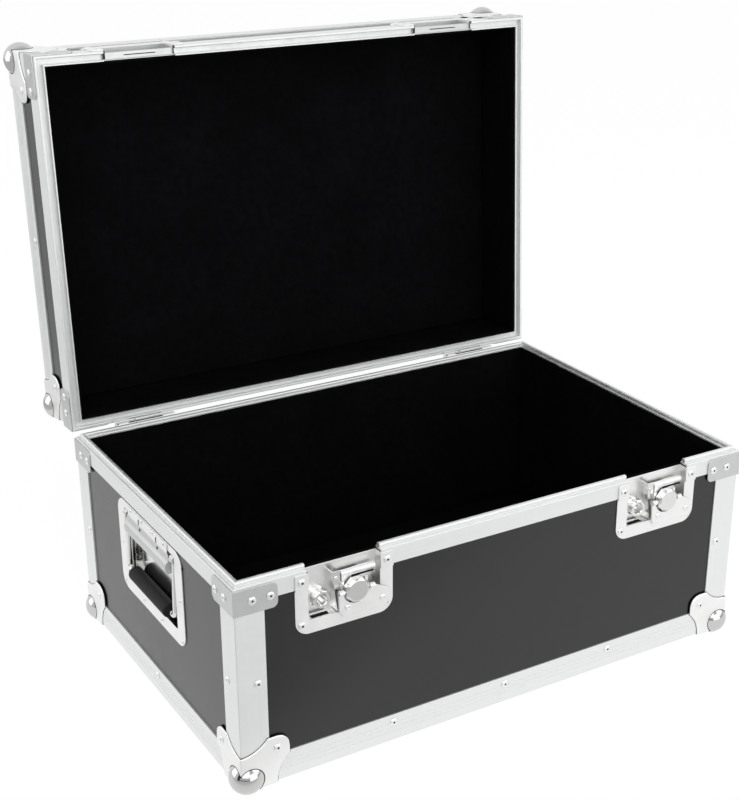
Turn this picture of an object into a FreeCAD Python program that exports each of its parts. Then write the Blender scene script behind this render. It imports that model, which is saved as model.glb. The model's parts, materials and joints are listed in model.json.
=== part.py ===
import FreeCAD, Part
import math
import os

# Transport case of laminated board with aluminium edges, modelled with its lid open.
# Millimetres and degrees. The origin is on the floor under the middle of the base,
# with X to the right, Y to the back and Z up. The front faces -Y.

# Case body
case_width = 600.0
case_depth = 400.0
base_height = 217.0
lid_height = 83.0
lid_open_angle = 93.0
parting_gap = 0.3
panel_thickness = 9.0
lining_thickness = 2.5
lining_rim_gap = 0.8
cut_overrun = 5.0

# Aluminium edges
edge_sheet = 1.5
edge_wing = 30.0
edge_round = 1.2
edge_groove_width = 0.8
edge_groove_depth = 0.3
edge_groove_shares = (0.36, 0.52, 0.68)

# Tongue-and-groove rims
base_rim_face = 18.0
lid_rim_face = 22.0
rim_web = 2.0
rim_round = 0.8
tongue_offset = 3.6
tongue_width = 5.0
tongue_height = 4.5
tongue_round = 2.0
tongue_clearance = 0.6
tongue_headroom = 1.0

# Ball corners
ball_radius = 17.5
ball_inset = 9.5
cap_sheet = 1.5
cap_notch = 37.5
cap_reach = 51.0
cap_lobe_round = 13.0
cap_flank_share = 0.55

# Rim braces
brace_sheet = 1.5
brace_length = 43.5
brace_height = 26.0
brace_rim_inset = 2.0
brace_round = 6.0
brace_rivet_near = 17.5
brace_rivet_far = 36.0

# Rivets
rivet_radius = 4.2
rivet_height = 1.3
rivet_round = 0.9
rivet_eye_radius = 1.3
rivet_eye_depth = 0.7
small_rivet_radius = 2.6
edge_rivet_inset = 21.0
long_edge_rivet_shares = (-0.223, 0.0, 0.223)
corner_rivet_share = 0.52

# Hinges
hinge_corner_inset = 83.0
hinge_width = 70.0
hinge_offset = 4.5
hinge_leaf_height = 34.0
hinge_leaf_round = 6.0
hinge_sheet = 1.5
hinge_knuckle_radius = 3.8
hinge_pin_radius = 2.0
hinge_knuckle_gap = 0.3
hinge_running_gap = 0.05
hinge_knuckle_count = 3
hinge_rivet_drop = 20.0
hinge_rivet_spread = 24.0
hinge_slot_length = 38.0
hinge_slot_width = 1.4
hinge_slot_depth = 3.0
hinge_eye_offset = 37.0
hinge_eye_radius = 1.2

# Latches
latch_corner_inset = 113.0
latch_flange_width = 104.0
latch_flange_drop = 67.0
latch_arm_inset = 3.0
latch_arm_round = 3.0
latch_flange_round = 14.5
latch_pocket_width = 76.0
latch_pocket_drop = 53.0
latch_sheet = 1.5
dish_sheet = 1.2
dish_clearance = 0.3
latch_rivet_inset = 6.8
latch_arm_rivet_drop = 11.3
latch_low_rivet_rise = 10.0

# Latch keepers on the lid
keeper_flange_rise = 44.0
keeper_pocket_rise = 30.0
keeper_rivet_inset = 9.0
keeper_lip_rise = 4.5
keeper_lip_inset = 2.5

# Latch hook and its guide
hook_shift = 9.7
hook_width = 26.0
hook_sheet = 1.5
hook_bar_radius = 3.0
hook_bar_drop = 15.0
hook_foot_drop = 50.0
hook_clearance = 0.3
hook_slot_clearance = 0.6
guide_top_drop = 22.0
guide_foot_drop = 51.5
guide_lip = 2.5

# Latch key and wing
key_drop = 31.0
key_shaft_radius = 4.0
key_running_gap = 0.05
key_hub_radius = 13.0
key_hub_sides = 8
key_hub_gap = 0.3
key_hub_height = 7.5
key_hub_chamfer = 2.6
wing_sheet = 2.0
wing_width = 55.0
wing_shift = 9.5
wing_drop = 25.5
wing_shoulder_drop = 10.0
wing_round = 8.0
wing_hub_gap = 1.2
wing_rivet_gap = 0.4
wing_barrel_radius = 2.5
wing_barrel_length = 5.4
wing_barrel_gap = 0.6
wing_pin_radius = 1.2
wing_hole_radius = 2.6
wing_hole_spread = 37.5
wing_hole_drop = 17.0

# Handles
handle_flange_width = 163.0
handle_flange_height = 105.0
handle_flange_round = 16.0
handle_rim_gap = 2.0
handle_pocket_width = 128.0
handle_pocket_round = 3.0
handle_top_margin = 8.0
handle_bottom_margin = 16.0
handle_pin_drop = 14.0
handle_pin_depth = 3.0
handle_pin_radius = 2.2
handle_running_gap = 0.05
handle_strap_length = 100.0
handle_strap_gap = 0.3
handle_strap_edge = 1.5
bail_rod_radius = 3.2
bail_wall_gap = 1.6
bail_bend = 6.0
bail_eye_radius = 5.0
bail_eye_length = 7.0
bail_plate_sheet = 1.5
bail_plate_near = 7.0
bail_plate_far = 20.0
grip_radius = 8.0
grip_round = 2.0
grip_floor_gap = 0.6
grip_end_gap = 7.0
grip_edge_gap = 4.0
handle_rivet_inset = 7.0
handle_low_rivet_share = 0.37
strap_rivet_shares = (-0.42, -0.14, 0.14, 0.42)

# Places worked out from the sizes above
half_width = case_width / 2
half_depth = case_depth / 2
edge_z = ball_radius - ball_inset
parting_z = edge_z + base_height
lid_z = parting_z + parting_gap
lid_top_z = lid_z + lid_height
board_in = edge_sheet + panel_thickness
base_floor_z = edge_z + board_in
lid_ceiling_z = lid_top_z - board_in
groove_depth = tongue_height + tongue_headroom
lid_web_top = groove_depth + rim_web
hinge_x = half_width - hinge_corner_inset
hinge_y = half_depth + hinge_offset
hinge_z = parting_z + parting_gap / 2
latch_x = half_width - latch_corner_inset
pan_floor = board_in - dish_sheet
hub_low = hook_clearance + dish_sheet + key_hub_gap
wing_low = latch_sheet + rivet_height + wing_rivet_gap
wing_axis_out = wing_low + wing_barrel_radius
wing_barrel_near = key_hub_radius + wing_barrel_gap
wing_barrel_far = wing_barrel_near + wing_barrel_length
handle_z = parting_z - base_rim_face - handle_rim_gap - handle_flange_height / 2
handle_pin_z = handle_flange_height / 2 - handle_pin_drop
bail_half = handle_pocket_width / 2 - bail_wall_gap - bail_rod_radius
grip_low = handle_bottom_margin + grip_edge_gap
bail_arm_length = handle_flange_height - handle_pin_drop - grip_low - grip_radius
grip_lift = handle_pin_depth - pan_floor + grip_radius + grip_floor_gap
bail_tilt = math.degrees(math.asin(grip_lift / bail_arm_length))

origin = FreeCAD.Vector(0, 0, 0)
x_axis = FreeCAD.Vector(1, 0, 0)
y_axis = FreeCAD.Vector(0, 1, 0)
z_axis = FreeCAD.Vector(0, 0, 1)
outward = FreeCAD.Vector(0, -1, 0)

side_turns = {"front": 0, "left": -90, "right": 90, "back": 180}
side_reaches = {"front": half_depth, "left": half_width, "right": half_width, "back": half_depth}
side_halves = {"front": half_width, "back": half_width, "left": half_depth, "right": half_depth}
hand_signs = {"left": -1, "right": 1}


# Shape helpers

def box(x, y, z):
    corner = FreeCAD.Vector(x[0], y[0], z[0])
    return Part.makeBox(x[1] - x[0], y[1] - y[0], z[1] - z[0], corner)


def rounded_wire(corners):
    """Close a wire through (point, radius) corners, with a tangent arc at each rounded one."""
    starts = []
    ends = []
    middles = []
    for index, (point, radius) in enumerate(corners):
        to_last = (corners[index - 1][0] - point).normalize()
        to_next = (corners[(index + 1) % len(corners)][0] - point).normalize()
        half_angle = to_last.getAngle(to_next) / 2
        run = radius / math.tan(half_angle)
        bisector = (to_last + to_next).normalize()
        starts.append(point + to_last * run)
        ends.append(point + to_next * run)
        middles.append(point + bisector * (radius / math.sin(half_angle) - radius))
    edges = []
    for index, (point, radius) in enumerate(corners):
        if radius > 0:
            edges.append(Part.Arc(starts[index], middles[index], ends[index]).toShape())
        following = (index + 1) % len(corners)
        edges.append(Part.LineSegment(ends[index], starts[following]).toShape())
    return Part.Wire(edges)


def slab(corners, sweep):
    return Part.Face(rounded_wire(corners)).extrude(sweep)


def on_plate(across, out, height):
    """Point of a front-facing plate: across to the right, out from the face, height up."""
    return FreeCAD.Vector(across, -out, height)


def plate(outline, inner, outer):
    """Front-facing plate from (across, height, radius) corners, between two distances out."""
    corners = [(on_plate(across, inner, height), radius) for across, height, radius in outline]
    return slab(corners, outward * (outer - inner))


def rectangle(across, height, low_radius, high_radius):
    return [
        (across[0], height[0], low_radius),
        (across[1], height[0], low_radius),
        (across[1], height[1], high_radius),
        (across[0], height[1], high_radius),
    ]


def cross_bar(radius, half_length, out, height, middle=0):
    """Round bar along the face, centred on middle."""
    start = on_plate(middle - half_length, out, height)
    return Part.makeCylinder(radius, half_length * 2, start, x_axis)


def peg(radius, inner, outer, across=0, height=0):
    """Round bar square to the face, between two distances out."""
    return Part.makeCylinder(radius, outer - inner, on_plate(across, inner, height), outward)


def join(*solids):
    whole = solids[0].fuse(list(solids[1:]))
    return whole.removeSplitter()


def flip_x(shape):
    return shape.mirror(origin, x_axis)


def flip_y(shape):
    return shape.mirror(origin, y_axis)


def four_corners(shape):
    pair = [shape, flip_x(shape)]
    return pair + [flip_y(solid) for solid in pair]


def on_side(shape, side):
    """Move a front-facing shape from the XZ plane to a side of the case."""
    moved = shape.translated(outward * side_reaches[side])
    return moved.rotated(origin, z_axis, side_turns[side])


def on_top(shape):
    return shape.rotated(origin, x_axis, -90).translated(z_axis * lid_top_z)


def on_bottom(shape):
    return shape.rotated(origin, x_axis, 90).translated(z_axis * edge_z)


def swung_open(shape):
    return shape.rotated(FreeCAD.Vector(0, hinge_y, hinge_z), x_axis, -lid_open_angle)


def save(node, *solids):
    whole = solids[0] if len(solids) == 1 else Part.makeCompound(list(solids))
    whole.exportStep("parts/" + node + ".step")


def save_lid(node, *solids):
    save(node, *[swung_open(solid) for solid in solids])


# Boards and lining

def latch_window(low, high):
    """Opening for a latch dish or keeper, between two heights from the parting line."""
    half = latch_pocket_width / 2 + dish_sheet + dish_clearance
    return box((-half, half), (-cut_overrun, board_in + cut_overrun), (low, high))


def dish_windows():
    low = -latch_pocket_drop - dish_sheet - dish_clearance
    return at_latches(latch_window(low, cut_overrun), parting_z)


def keeper_windows():
    high = keeper_pocket_rise + dish_sheet + dish_clearance
    return at_latches(latch_window(-cut_overrun, high), lid_z)


def at_latches(shape, height):
    return [
        shape.translated(FreeCAD.Vector(sign * latch_x, -half_depth, height))
        for sign in hand_signs.values()
    ]


def walls(inner_x, inner_y, thickness, z):
    """Front and left walls of a frame whose outer faces lie inner_x and inner_y from the middle."""
    front = box((-inner_x, inner_x), (-inner_y, -inner_y + thickness), z)
    left_y = inner_y - thickness
    left = box((-inner_x, -inner_x + thickness), (-left_y, left_y), z)
    return front, left


def handle_pocket(margin):
    """Rounded outline of the handle's pocket, grown by a margin."""
    half = handle_pocket_width / 2 + margin
    low = -handle_flange_height / 2 + handle_bottom_margin - margin
    high = handle_flange_height / 2 - handle_top_margin + margin
    radius = handle_pocket_round + margin
    return rectangle((-half, half), (low, high), radius, radius)


def make_base_boards():
    x = half_width - edge_sheet
    y = half_depth - edge_sheet
    bottom = box((-x, x), (-y, y), (edge_z + edge_sheet, base_floor_z))
    front, left = walls(x, y, panel_thickness, (base_floor_z, parting_z - rim_web))
    back = flip_y(front)
    front = front.cut(dish_windows())
    opening = plate(handle_pocket(dish_sheet + dish_clearance), -board_in - cut_overrun, cut_overrun)
    left = left.cut(on_side(opening.translated(z_axis * handle_z), "left"))
    save("base_bottom_board", bottom)
    save("base_front_board", front)
    save("base_back_board", back)
    save("base_left_board", left)
    save("base_right_board", flip_x(left))


def make_lid_boards():
    x = half_width - edge_sheet
    y = half_depth - edge_sheet
    top = box((-x, x), (-y, y), (lid_ceiling_z, lid_top_z - edge_sheet))
    front, left = walls(x, y, panel_thickness, (lid_z + lid_web_top, lid_ceiling_z))
    back = flip_y(front)
    front = front.cut(keeper_windows())
    save_lid("lid_top_board", top)
    save_lid("lid_front_board", front)
    save_lid("lid_back_board", back)
    save_lid("lid_left_board", left)
    save_lid("lid_right_board", flip_x(left))


def make_linings():
    x = half_width - board_in
    y = half_depth - board_in
    inner_x = x - lining_thickness
    inner_y = y - lining_thickness
    floor_z = (base_floor_z, base_floor_z + lining_thickness)
    floor = box((-inner_x, inner_x), (-inner_y, inner_y), floor_z)
    front, left = walls(x, y, lining_thickness, (base_floor_z, parting_z - lining_rim_gap))
    save("base_lining", floor, front, flip_y(front), left, flip_x(left))
    ceiling_z = (lid_ceiling_z - lining_thickness, lid_ceiling_z)
    ceiling = box((-inner_x, inner_x), (-inner_y, inner_y), ceiling_z)
    front, left = walls(x, y, lining_thickness, (lid_z + lining_rim_gap, lid_ceiling_z))
    save_lid("lid_lining", ceiling, front, flip_y(front), left, flip_x(left))


# Rims

def base_rim_outline():
    """Tongue section as (depth from the outer face, height from the parting line, radius)."""
    far = tongue_offset + tongue_width
    return [
        (0, -base_rim_face, 0),
        (0, 0, rim_round),
        (tongue_offset, 0, 0),
        (tongue_offset, tongue_height, tongue_round),
        (far, tongue_height, tongue_round),
        (far, 0, 0),
        (board_in, 0, 0),
        (board_in, -rim_web, 0),
        (edge_sheet, -rim_web, 0),
        (edge_sheet, -base_rim_face, 0),
    ]


def lid_rim_outline():
    """Groove section as (depth from the outer face, height from the lid's lower face, radius)."""
    near = tongue_offset - tongue_clearance
    far = tongue_offset + tongue_width + tongue_clearance
    return [
        (0, 0, rim_round),
        (0, lid_rim_face, 0),
        (edge_sheet, lid_rim_face, 0),
        (edge_sheet, lid_web_top, 0),
        (board_in, lid_web_top, 0),
        (board_in, 0, 0),
        (far, 0, 0),
        (far, groove_depth, 0),
        (near, groove_depth, 0),
        (near, 0, rim_round),
    ]


def mitre(along_x, z):
    """Wedge that cuts the front or left bar of a frame at 45 degrees to both corners."""
    reach = board_in + cut_overrun
    low = z - base_height
    if along_x:
        points = [
            (-half_width, -half_depth),
            (half_width, -half_depth),
            (half_width - reach, -half_depth + reach),
            (-half_width + reach, -half_depth + reach),
        ]
    else:
        points = [
            (-half_width, -half_depth),
            (-half_width, half_depth),
            (-half_width + reach, half_depth - reach),
            (-half_width + reach, -half_depth + reach),
        ]
    corners = [(FreeCAD.Vector(x, y, low), 0) for x, y in points]
    return slab(corners, z_axis * base_height * 2)


def rim_bars(outline, z):
    """Front and left bars of a rim, mitred at the corners."""
    front = [
        (FreeCAD.Vector(-half_width, -half_depth + depth, z + height), radius)
        for depth, height, radius in outline
    ]
    left = [
        (FreeCAD.Vector(-half_width + depth, -half_depth, z + height), radius)
        for depth, height, radius in outline
    ]
    front_bar = slab(front, x_axis * case_width).common(mitre(True, z))
    left_bar = slab(left, y_axis * case_depth).common(mitre(False, z))
    return front_bar, left_bar


def hinge_marks():
    """Slot and rivet eye that each hinge leaves in the edge of the lid's back rim."""
    middle = half_depth - (tongue_offset - tongue_clearance) / 2
    low = lid_z - cut_overrun
    marks = []
    for sign in hand_signs.values():
        x = sign * hinge_x
        slot_x = (x - hinge_slot_length / 2, x + hinge_slot_length / 2)
        slot_y = (middle - hinge_slot_width / 2, middle + hinge_slot_width / 2)
        marks.append(box(slot_x, slot_y, (low, lid_z + hinge_slot_depth)))
        eye = FreeCAD.Vector(x - hinge_eye_offset, middle, low)
        marks.append(Part.makeCylinder(hinge_eye_radius, cut_overrun + hinge_slot_depth, eye))
    return marks


def make_rims():
    front, left = rim_bars(base_rim_outline(), parting_z)
    save("base_back_rim", flip_y(front))
    front = front.cut(dish_windows())
    save("base_front_rim", front)
    save("base_left_rim", left)
    save("base_right_rim", flip_x(left))
    front, left = rim_bars(lid_rim_outline(), lid_z)
    save_lid("lid_back_rim", flip_y(front).cut(hinge_marks()))
    front = front.cut(keeper_windows())
    save_lid("lid_front_rim", front)
    save_lid("lid_left_rim", left)
    save_lid("lid_right_rim", flip_x(left))


# Aluminium angles

def angle_bar(corner, first, second, sweep):
    """Angle with its outer edge on corner, and wings along two unit directions."""
    outline = [
        (0, 0, edge_round),
        (edge_wing, 0, 0),
        (edge_wing, edge_sheet, 0),
        (edge_sheet, edge_sheet, 0),
        (edge_sheet, edge_wing, 0),
        (0, edge_wing, 0),
    ]
    corners = [(corner + first * a + second * b, radius) for a, b, radius in outline]
    return slab(corners, sweep)


def edge_angles(z, up):
    """Four angles round the foot of the base or the top of the lid, grooved along their length."""
    x = half_width - edge_wing
    y = half_depth - edge_wing
    front = angle_bar(FreeCAD.Vector(-x, -half_depth, z), up, y_axis, x_axis * x * 2)
    left = angle_bar(FreeCAD.Vector(-half_width, -y, z), up, x_axis, y_axis * y * 2)
    for share in edge_groove_shares:
        middle = z + up.z * edge_wing * share
        groove_z = (middle - edge_groove_width / 2, middle + edge_groove_width / 2)
        front_y = (-half_depth - cut_overrun, -half_depth + edge_groove_depth)
        front = front.cut(box((-half_width, half_width), front_y, groove_z))
        left_x = (-half_width - cut_overrun, -half_width + edge_groove_depth)
        left = left.cut(box(left_x, (-half_depth, half_depth), groove_z))
    return [front, flip_y(front), left, flip_x(left)]


def make_angles():
    corner = FreeCAD.Vector(-half_width, -half_depth, edge_z)
    upright = angle_bar(corner, x_axis, y_axis, z_axis * (base_height - base_rim_face))
    save("base_corner_angles", *four_corners(upright))
    save("base_edge_angles", *edge_angles(edge_z, z_axis))
    corner = FreeCAD.Vector(-half_width, -half_depth, lid_z + lid_rim_face)
    upright = angle_bar(corner, x_axis, y_axis, z_axis * (lid_height - lid_rim_face))
    save_lid("lid_corner_angles", *four_corners(upright))
    save_lid("lid_edge_angles", *edge_angles(lid_top_z, -z_axis))


# Ball corners and rim braces

def ball_corner():
    """Stamped cap over the corner at the origin, with the case in the positive octant."""
    flank = cap_reach * cap_flank_share
    outline = [
        (-cap_sheet, -cap_sheet, 0),
        (cap_notch, -cap_sheet, 0),
        (cap_reach, flank, 0),
        (cap_reach, cap_reach, cap_lobe_round),
        (flank, cap_reach, 0),
        (-cap_sheet, cap_notch, 0),
    ]
    ball = Part.makeSphere(ball_radius, FreeCAD.Vector(ball_inset, ball_inset, ball_inset))
    faces = []
    for first, second in ((x_axis, y_axis), (y_axis, z_axis), (z_axis, x_axis)):
        out = -first.cross(second)
        corners = [(first * a + second * b, radius) for a, b, radius in outline]
        faces.append(slab(corners, out * cap_sheet))
    inside = box((0, cap_reach * 2), (0, cap_reach * 2), (0, cap_reach * 2))
    return join(ball, *faces).cut(inside)


def rim_brace(low):
    """Folded plate round the front left corner, from a lower height."""
    height = (low, low + brace_height)
    outer = brace_sheet
    wing = [
        (-outer, height[0], 0),
        (brace_length, height[0], brace_round),
        (brace_length, height[1], brace_round),
        (-outer, height[1], 0),
    ]
    front = plate(wing, 0, brace_sheet).translated(FreeCAD.Vector(-half_width, -half_depth, 0))
    corners = [
        (FreeCAD.Vector(-half_width, -half_depth + along, z), radius) for along, z, radius in wing
    ]
    left = slab(corners, -x_axis * brace_sheet)
    return join(front, left)


def make_corners():
    cap = ball_corner()
    low_cap = cap.translated(FreeCAD.Vector(-half_width, -half_depth, edge_z))
    save("base_ball_corners", *four_corners(low_cap))
    high_cap = cap.mirror(origin, z_axis)
    high_cap = high_cap.translated(FreeCAD.Vector(-half_width, -half_depth, lid_top_z))
    save_lid("lid_ball_corners", *four_corners(high_cap))
    base_low = parting_z - brace_rim_inset - brace_height
    save("base_rim_braces", *four_corners(rim_brace(base_low)))
    save_lid("lid_rim_braces", *four_corners(rim_brace(lid_z + brace_rim_inset)))


# Hinges

def hinge_leaf(up, knuckles):
    """Leaf on the back face, pointing up or down from the hinge line, in front-facing form."""
    half = hinge_width / 2
    far = up * hinge_leaf_height
    near = up * parting_gap
    heights = (min(near, far), max(near, far))
    low_radius = hinge_leaf_round if up < 0 else 0
    high_radius = hinge_leaf_round if up > 0 else 0
    leaf = plate(rectangle((-half, half), heights, low_radius, high_radius), 0, hinge_sheet)
    pitch = hinge_width / hinge_knuckle_count
    room = hinge_knuckle_radius + hinge_knuckle_gap
    clear = (-room, room)
    for index in range(hinge_knuckle_count):
        start = -half + index * pitch
        middle = start + pitch / 2
        length = pitch / 2 - hinge_knuckle_gap / 2
        if index in knuckles:
            knuckle = cross_bar(hinge_knuckle_radius, length, hinge_offset, 0, middle)
            root_top = up * hinge_knuckle_radius * 2
            root_z = (min(0, root_top), max(0, root_top))
            root_out = (-hinge_offset, 0)
            root_side = (middle - length, middle + length)
            root = box(root_side, root_out, root_z).common(plate_gusset(root_side, up))
            leaf = join(leaf, knuckle, root)
        else:
            ends = (start - hinge_knuckle_gap, start + pitch + hinge_knuckle_gap)
            leaf = leaf.cut(box(ends, (-hinge_offset * 2, cut_overrun), clear))
    bore = cross_bar(hinge_pin_radius + hinge_running_gap, hinge_width, hinge_offset, 0)
    return leaf.cut(bore)


def plate_gusset(sides, up):
    """Wedge from a hinge leaf to the outer side of its knuckle."""
    tip = up * hinge_knuckle_radius * 2
    points = [(0, 0), (hinge_offset, 0), (hinge_sheet, tip), (0, tip)]
    corners = [(on_plate(sides[0], out, height), 0) for out, height in points]
    return slab(corners, x_axis * (sides[1] - sides[0]))


def make_hinges():
    base_leaf = hinge_leaf(-1, (0, 2))
    lid_leaf = hinge_leaf(1, (1,))
    pin = cross_bar(hinge_pin_radius, hinge_width / 2, hinge_offset, 0)
    for hand, sign in hand_signs.items():
        place = FreeCAD.Vector(-sign * hinge_x, 0, hinge_z)
        save(hand + "_hinge_base_leaf", on_side(base_leaf.translated(place), "back"))
        save_lid(hand + "_hinge_lid_leaf", on_side(lid_leaf.translated(place), "back"))
        save(hand + "_hinge_pin", on_side(pin.translated(place), "back"))


# Latches

def latch_shell(flange_reach, pocket_reach, rim_face):
    """Flanged pan with its mouth at the parting line; heights count away from that line."""
    half_flange = latch_flange_width / 2
    half_pocket = latch_pocket_width / 2
    across = (-half_flange, half_flange)
    on_board = plate(
        rectangle(across, (rim_face, flange_reach), 0, latch_flange_round), -edge_sheet, 0)
    crank = rim_face + latch_sheet
    on_rim = plate(rectangle(across, (latch_arm_inset, crank), latch_arm_round, 0), 0, latch_sheet)
    pan_half = half_pocket + dish_sheet
    pan = box((-pan_half, pan_half), (0, board_in), (latch_arm_inset, pocket_reach + dish_sheet))
    pocket = box((-half_pocket, half_pocket), (-cut_overrun, pan_floor), (-cut_overrun, pocket_reach))
    return join(on_board, on_rim, pan).cut(pocket)


def latch_dish():
    shell = latch_shell(latch_flange_drop, latch_pocket_drop, base_rim_face)
    return shell.mirror(origin, z_axis)


def latch_keeper():
    shell = latch_shell(keeper_flange_rise, keeper_pocket_rise, lid_rim_face)
    half = latch_pocket_width / 2
    lip_z = (keeper_lip_rise, keeper_lip_rise + latch_sheet)
    lip = box((-half, half), (keeper_lip_inset, pan_floor), lip_z)
    return join(shell, lip)


def hook_guide():
    """Channel on the floor of the pan that the hook slides in, bored for the key's shaft."""
    inner = hook_width / 2 + hook_clearance
    outer = inner + dish_sheet
    front = hook_clearance + dish_sheet
    z = (-guide_foot_drop, -guide_top_drop)
    channel = box((-outer, outer), (-front, pan_floor), z)
    hollow = box((-inner, inner), (-hook_clearance, pan_floor - dish_sheet), z)
    mouth_half = inner - guide_lip
    mouth = box((-mouth_half, mouth_half), (-front, 0), z)
    bore = peg(key_shaft_radius + key_running_gap, -board_in, 0, 0, -key_drop)
    return channel.cut([hollow, mouth, bore])


def latch_hook():
    """Sliding plate with a rolled bar on top and a fork that straddles the shaft."""
    half = hook_width / 2
    body = box((-half, half), (0, hook_sheet), (-hook_foot_drop, -hook_bar_drop))
    bar = cross_bar(hook_bar_radius, half, -hook_bar_radius, -hook_bar_drop)
    fork_half = key_shaft_radius + hook_slot_clearance
    fork_low = -hook_foot_drop - cut_overrun
    fork = box((-fork_half, fork_half), (-cut_overrun, hook_sheet + cut_overrun), (fork_low, -key_drop))
    crown = peg(fork_half, -hook_sheet - cut_overrun, cut_overrun, 0, -key_drop)
    return join(body, bar).cut([fork, crown])


def hub_prism():
    """Faceted hub with a chamfered crown, with flats to its left and right."""
    turn = math.pi / key_hub_sides
    corners = []
    for index in range(key_hub_sides):
        angle = turn * (index * 2 + 1)
        across = key_hub_radius * math.cos(angle)
        corners.append((across, key_hub_radius * math.sin(angle), 0))
    hub_top = hub_low + key_hub_height
    prism = plate(corners, hub_low, hub_top)
    foot = key_hub_radius + key_hub_height
    top = key_hub_radius - key_hub_chamfer
    crown = Part.makeCone(foot, top, foot - top, on_plate(0, hub_top - foot + top, 0), outward)
    return prism.common(crown)


def latch_key():
    """Shaft, hub and the pin that carries the wing on both sides of the hub."""
    shaft = peg(key_shaft_radius, -pan_floor + key_hub_gap, hub_low)
    pin = cross_bar(wing_pin_radius, wing_barrel_far, wing_axis_out, 0)
    return join(shaft, hub_prism(), pin)


def latch_wing():
    """Folding wing that hangs from the pin on both sides of the hub, longer to the right."""
    left = wing_shift - wing_width / 2
    right = wing_shift + wing_width / 2
    outline = [
        (left, -wing_drop, wing_round),
        (right, -wing_drop, wing_round),
        (right, -wing_shoulder_drop, wing_round / 2),
        (wing_barrel_far, 0, 0),
        (-wing_barrel_far, 0, 0),
    ]
    blade = plate(outline, wing_low, wing_low + wing_sheet)
    blade = blade.cut(peg(key_hub_radius + wing_hub_gap, wing_low - cut_overrun, wing_axis_out))
    for sign in (-1, 1):
        across = wing_shift + sign * wing_hole_spread / 2
        hole = peg(wing_hole_radius, wing_low - cut_overrun, wing_axis_out, across, -wing_hole_drop)
        middle = sign * (wing_barrel_near + wing_barrel_far) / 2
        barrel = cross_bar(wing_barrel_radius, wing_barrel_length / 2, wing_axis_out, 0, middle)
        blade = join(blade.cut(hole), barrel)
    return blade.cut(cross_bar(wing_pin_radius + key_running_gap, wing_width, wing_axis_out, 0))


def make_latches():
    shift = x_axis * hook_shift
    shaft = FreeCAD.Vector(hook_shift, 0, -key_drop)
    pieces = {
        "latch_dish": latch_dish(),
        "latch_guide": hook_guide().translated(shift),
        "latch_hook": latch_hook().translated(shift),
        "latch_key": latch_key().translated(shaft),
        "latch_wing": latch_wing().translated(shaft),
    }
    keeper = latch_keeper()
    for hand, sign in hand_signs.items():
        for name, piece in pieces.items():
            place = FreeCAD.Vector(sign * latch_x, -half_depth, parting_z)
            save(hand + "_" + name, piece.translated(place))
        place = FreeCAD.Vector(sign * latch_x, -half_depth, lid_z)
        save_lid(hand + "_latch_keeper", keeper.translated(place))


# Handles

def handle_dish():
    half_w = handle_flange_width / 2
    half_h = handle_flange_height / 2
    flange = plate(
        rectangle((-half_w, half_w), (-half_h, half_h), handle_flange_round, handle_flange_round),
        -edge_sheet, 0)
    pan = plate(handle_pocket(dish_sheet), -board_in, 0)
    pocket = plate(handle_pocket(0), -pan_floor, cut_overrun)
    pin_hole = cross_bar(handle_pin_radius, half_w, -handle_pin_depth, handle_pin_z)
    return join(flange, pan).cut([pocket, pin_hole])


def handle_pin():
    half = handle_pocket_width / 2 + dish_sheet
    return cross_bar(handle_pin_radius, half, -handle_pin_depth, handle_pin_z)


def handle_strap():
    """Strip on the flange, rolled round the front of the pin."""
    half = handle_strap_length / 2
    inner = handle_pin_radius + handle_strap_gap
    outer = inner + dish_sheet
    strip_z = (handle_pin_z, handle_flange_height / 2 - handle_strap_edge)
    strip = box((-half, half), (-dish_sheet, 0), strip_z)
    roll = cross_bar(outer, half, -handle_pin_depth, handle_pin_z)
    behind = box((-half, half), (handle_pin_depth, board_in), (-handle_flange_height, handle_flange_height))
    bore = cross_bar(inner, half, -handle_pin_depth, handle_pin_z)
    return join(strip, roll.cut(behind)).cut(bore)


def tilted_bail(shape):
    """Lean a bail piece out from hanging, so that its grip clears the floor of the dish."""
    return shape.rotated(on_plate(0, -handle_pin_depth, handle_pin_z), x_axis, -bail_tilt)


def bail_path():
    top = handle_pin_z
    low = handle_pin_z - bail_arm_length
    knee = bail_half - bail_bend
    sag = bail_bend * (1 - math.sqrt(0.5))
    out = -handle_pin_depth
    points = [
        (-bail_half, top),
        (-bail_half, low + bail_bend),
        (-bail_half + sag, low + sag),
        (-knee, low),
        (knee, low),
        (bail_half - sag, low + sag),
        (bail_half, low + bail_bend),
        (bail_half, top),
    ]
    at = [on_plate(across, out, height) for across, height in points]
    return Part.Wire([
        Part.LineSegment(at[0], at[1]).toShape(),
        Part.Arc(at[1], at[2], at[3]).toShape(),
        Part.LineSegment(at[3], at[4]).toShape(),
        Part.Arc(at[4], at[5], at[6]).toShape(),
        Part.LineSegment(at[6], at[7]).toShape(),
    ])


def handle_bail():
    """Bent rod with an eye at each end and a cross plate under the pin."""
    start = on_plate(-bail_half, -handle_pin_depth, handle_pin_z)
    circle = Part.Wire([Part.makeCircle(bail_rod_radius, start, z_axis)])
    rod = bail_path().makePipeShell([circle], True, False)
    plate_z = (handle_pin_z - bail_plate_far, handle_pin_z - bail_plate_near)
    plate_y = (handle_pin_depth - bail_plate_sheet / 2, handle_pin_depth + bail_plate_sheet / 2)
    pieces = [rod, box((-bail_half, bail_half), plate_y, plate_z)]
    for sign in (-1, 1):
        eye_half = bail_eye_length / 2
        pieces.append(cross_bar(bail_eye_radius, eye_half, -handle_pin_depth, handle_pin_z, sign * bail_half))
    bore = cross_bar(
        handle_pin_radius + handle_running_gap, handle_flange_width, -handle_pin_depth, handle_pin_z)
    return tilted_bail(join(*pieces).cut(bore))


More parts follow.
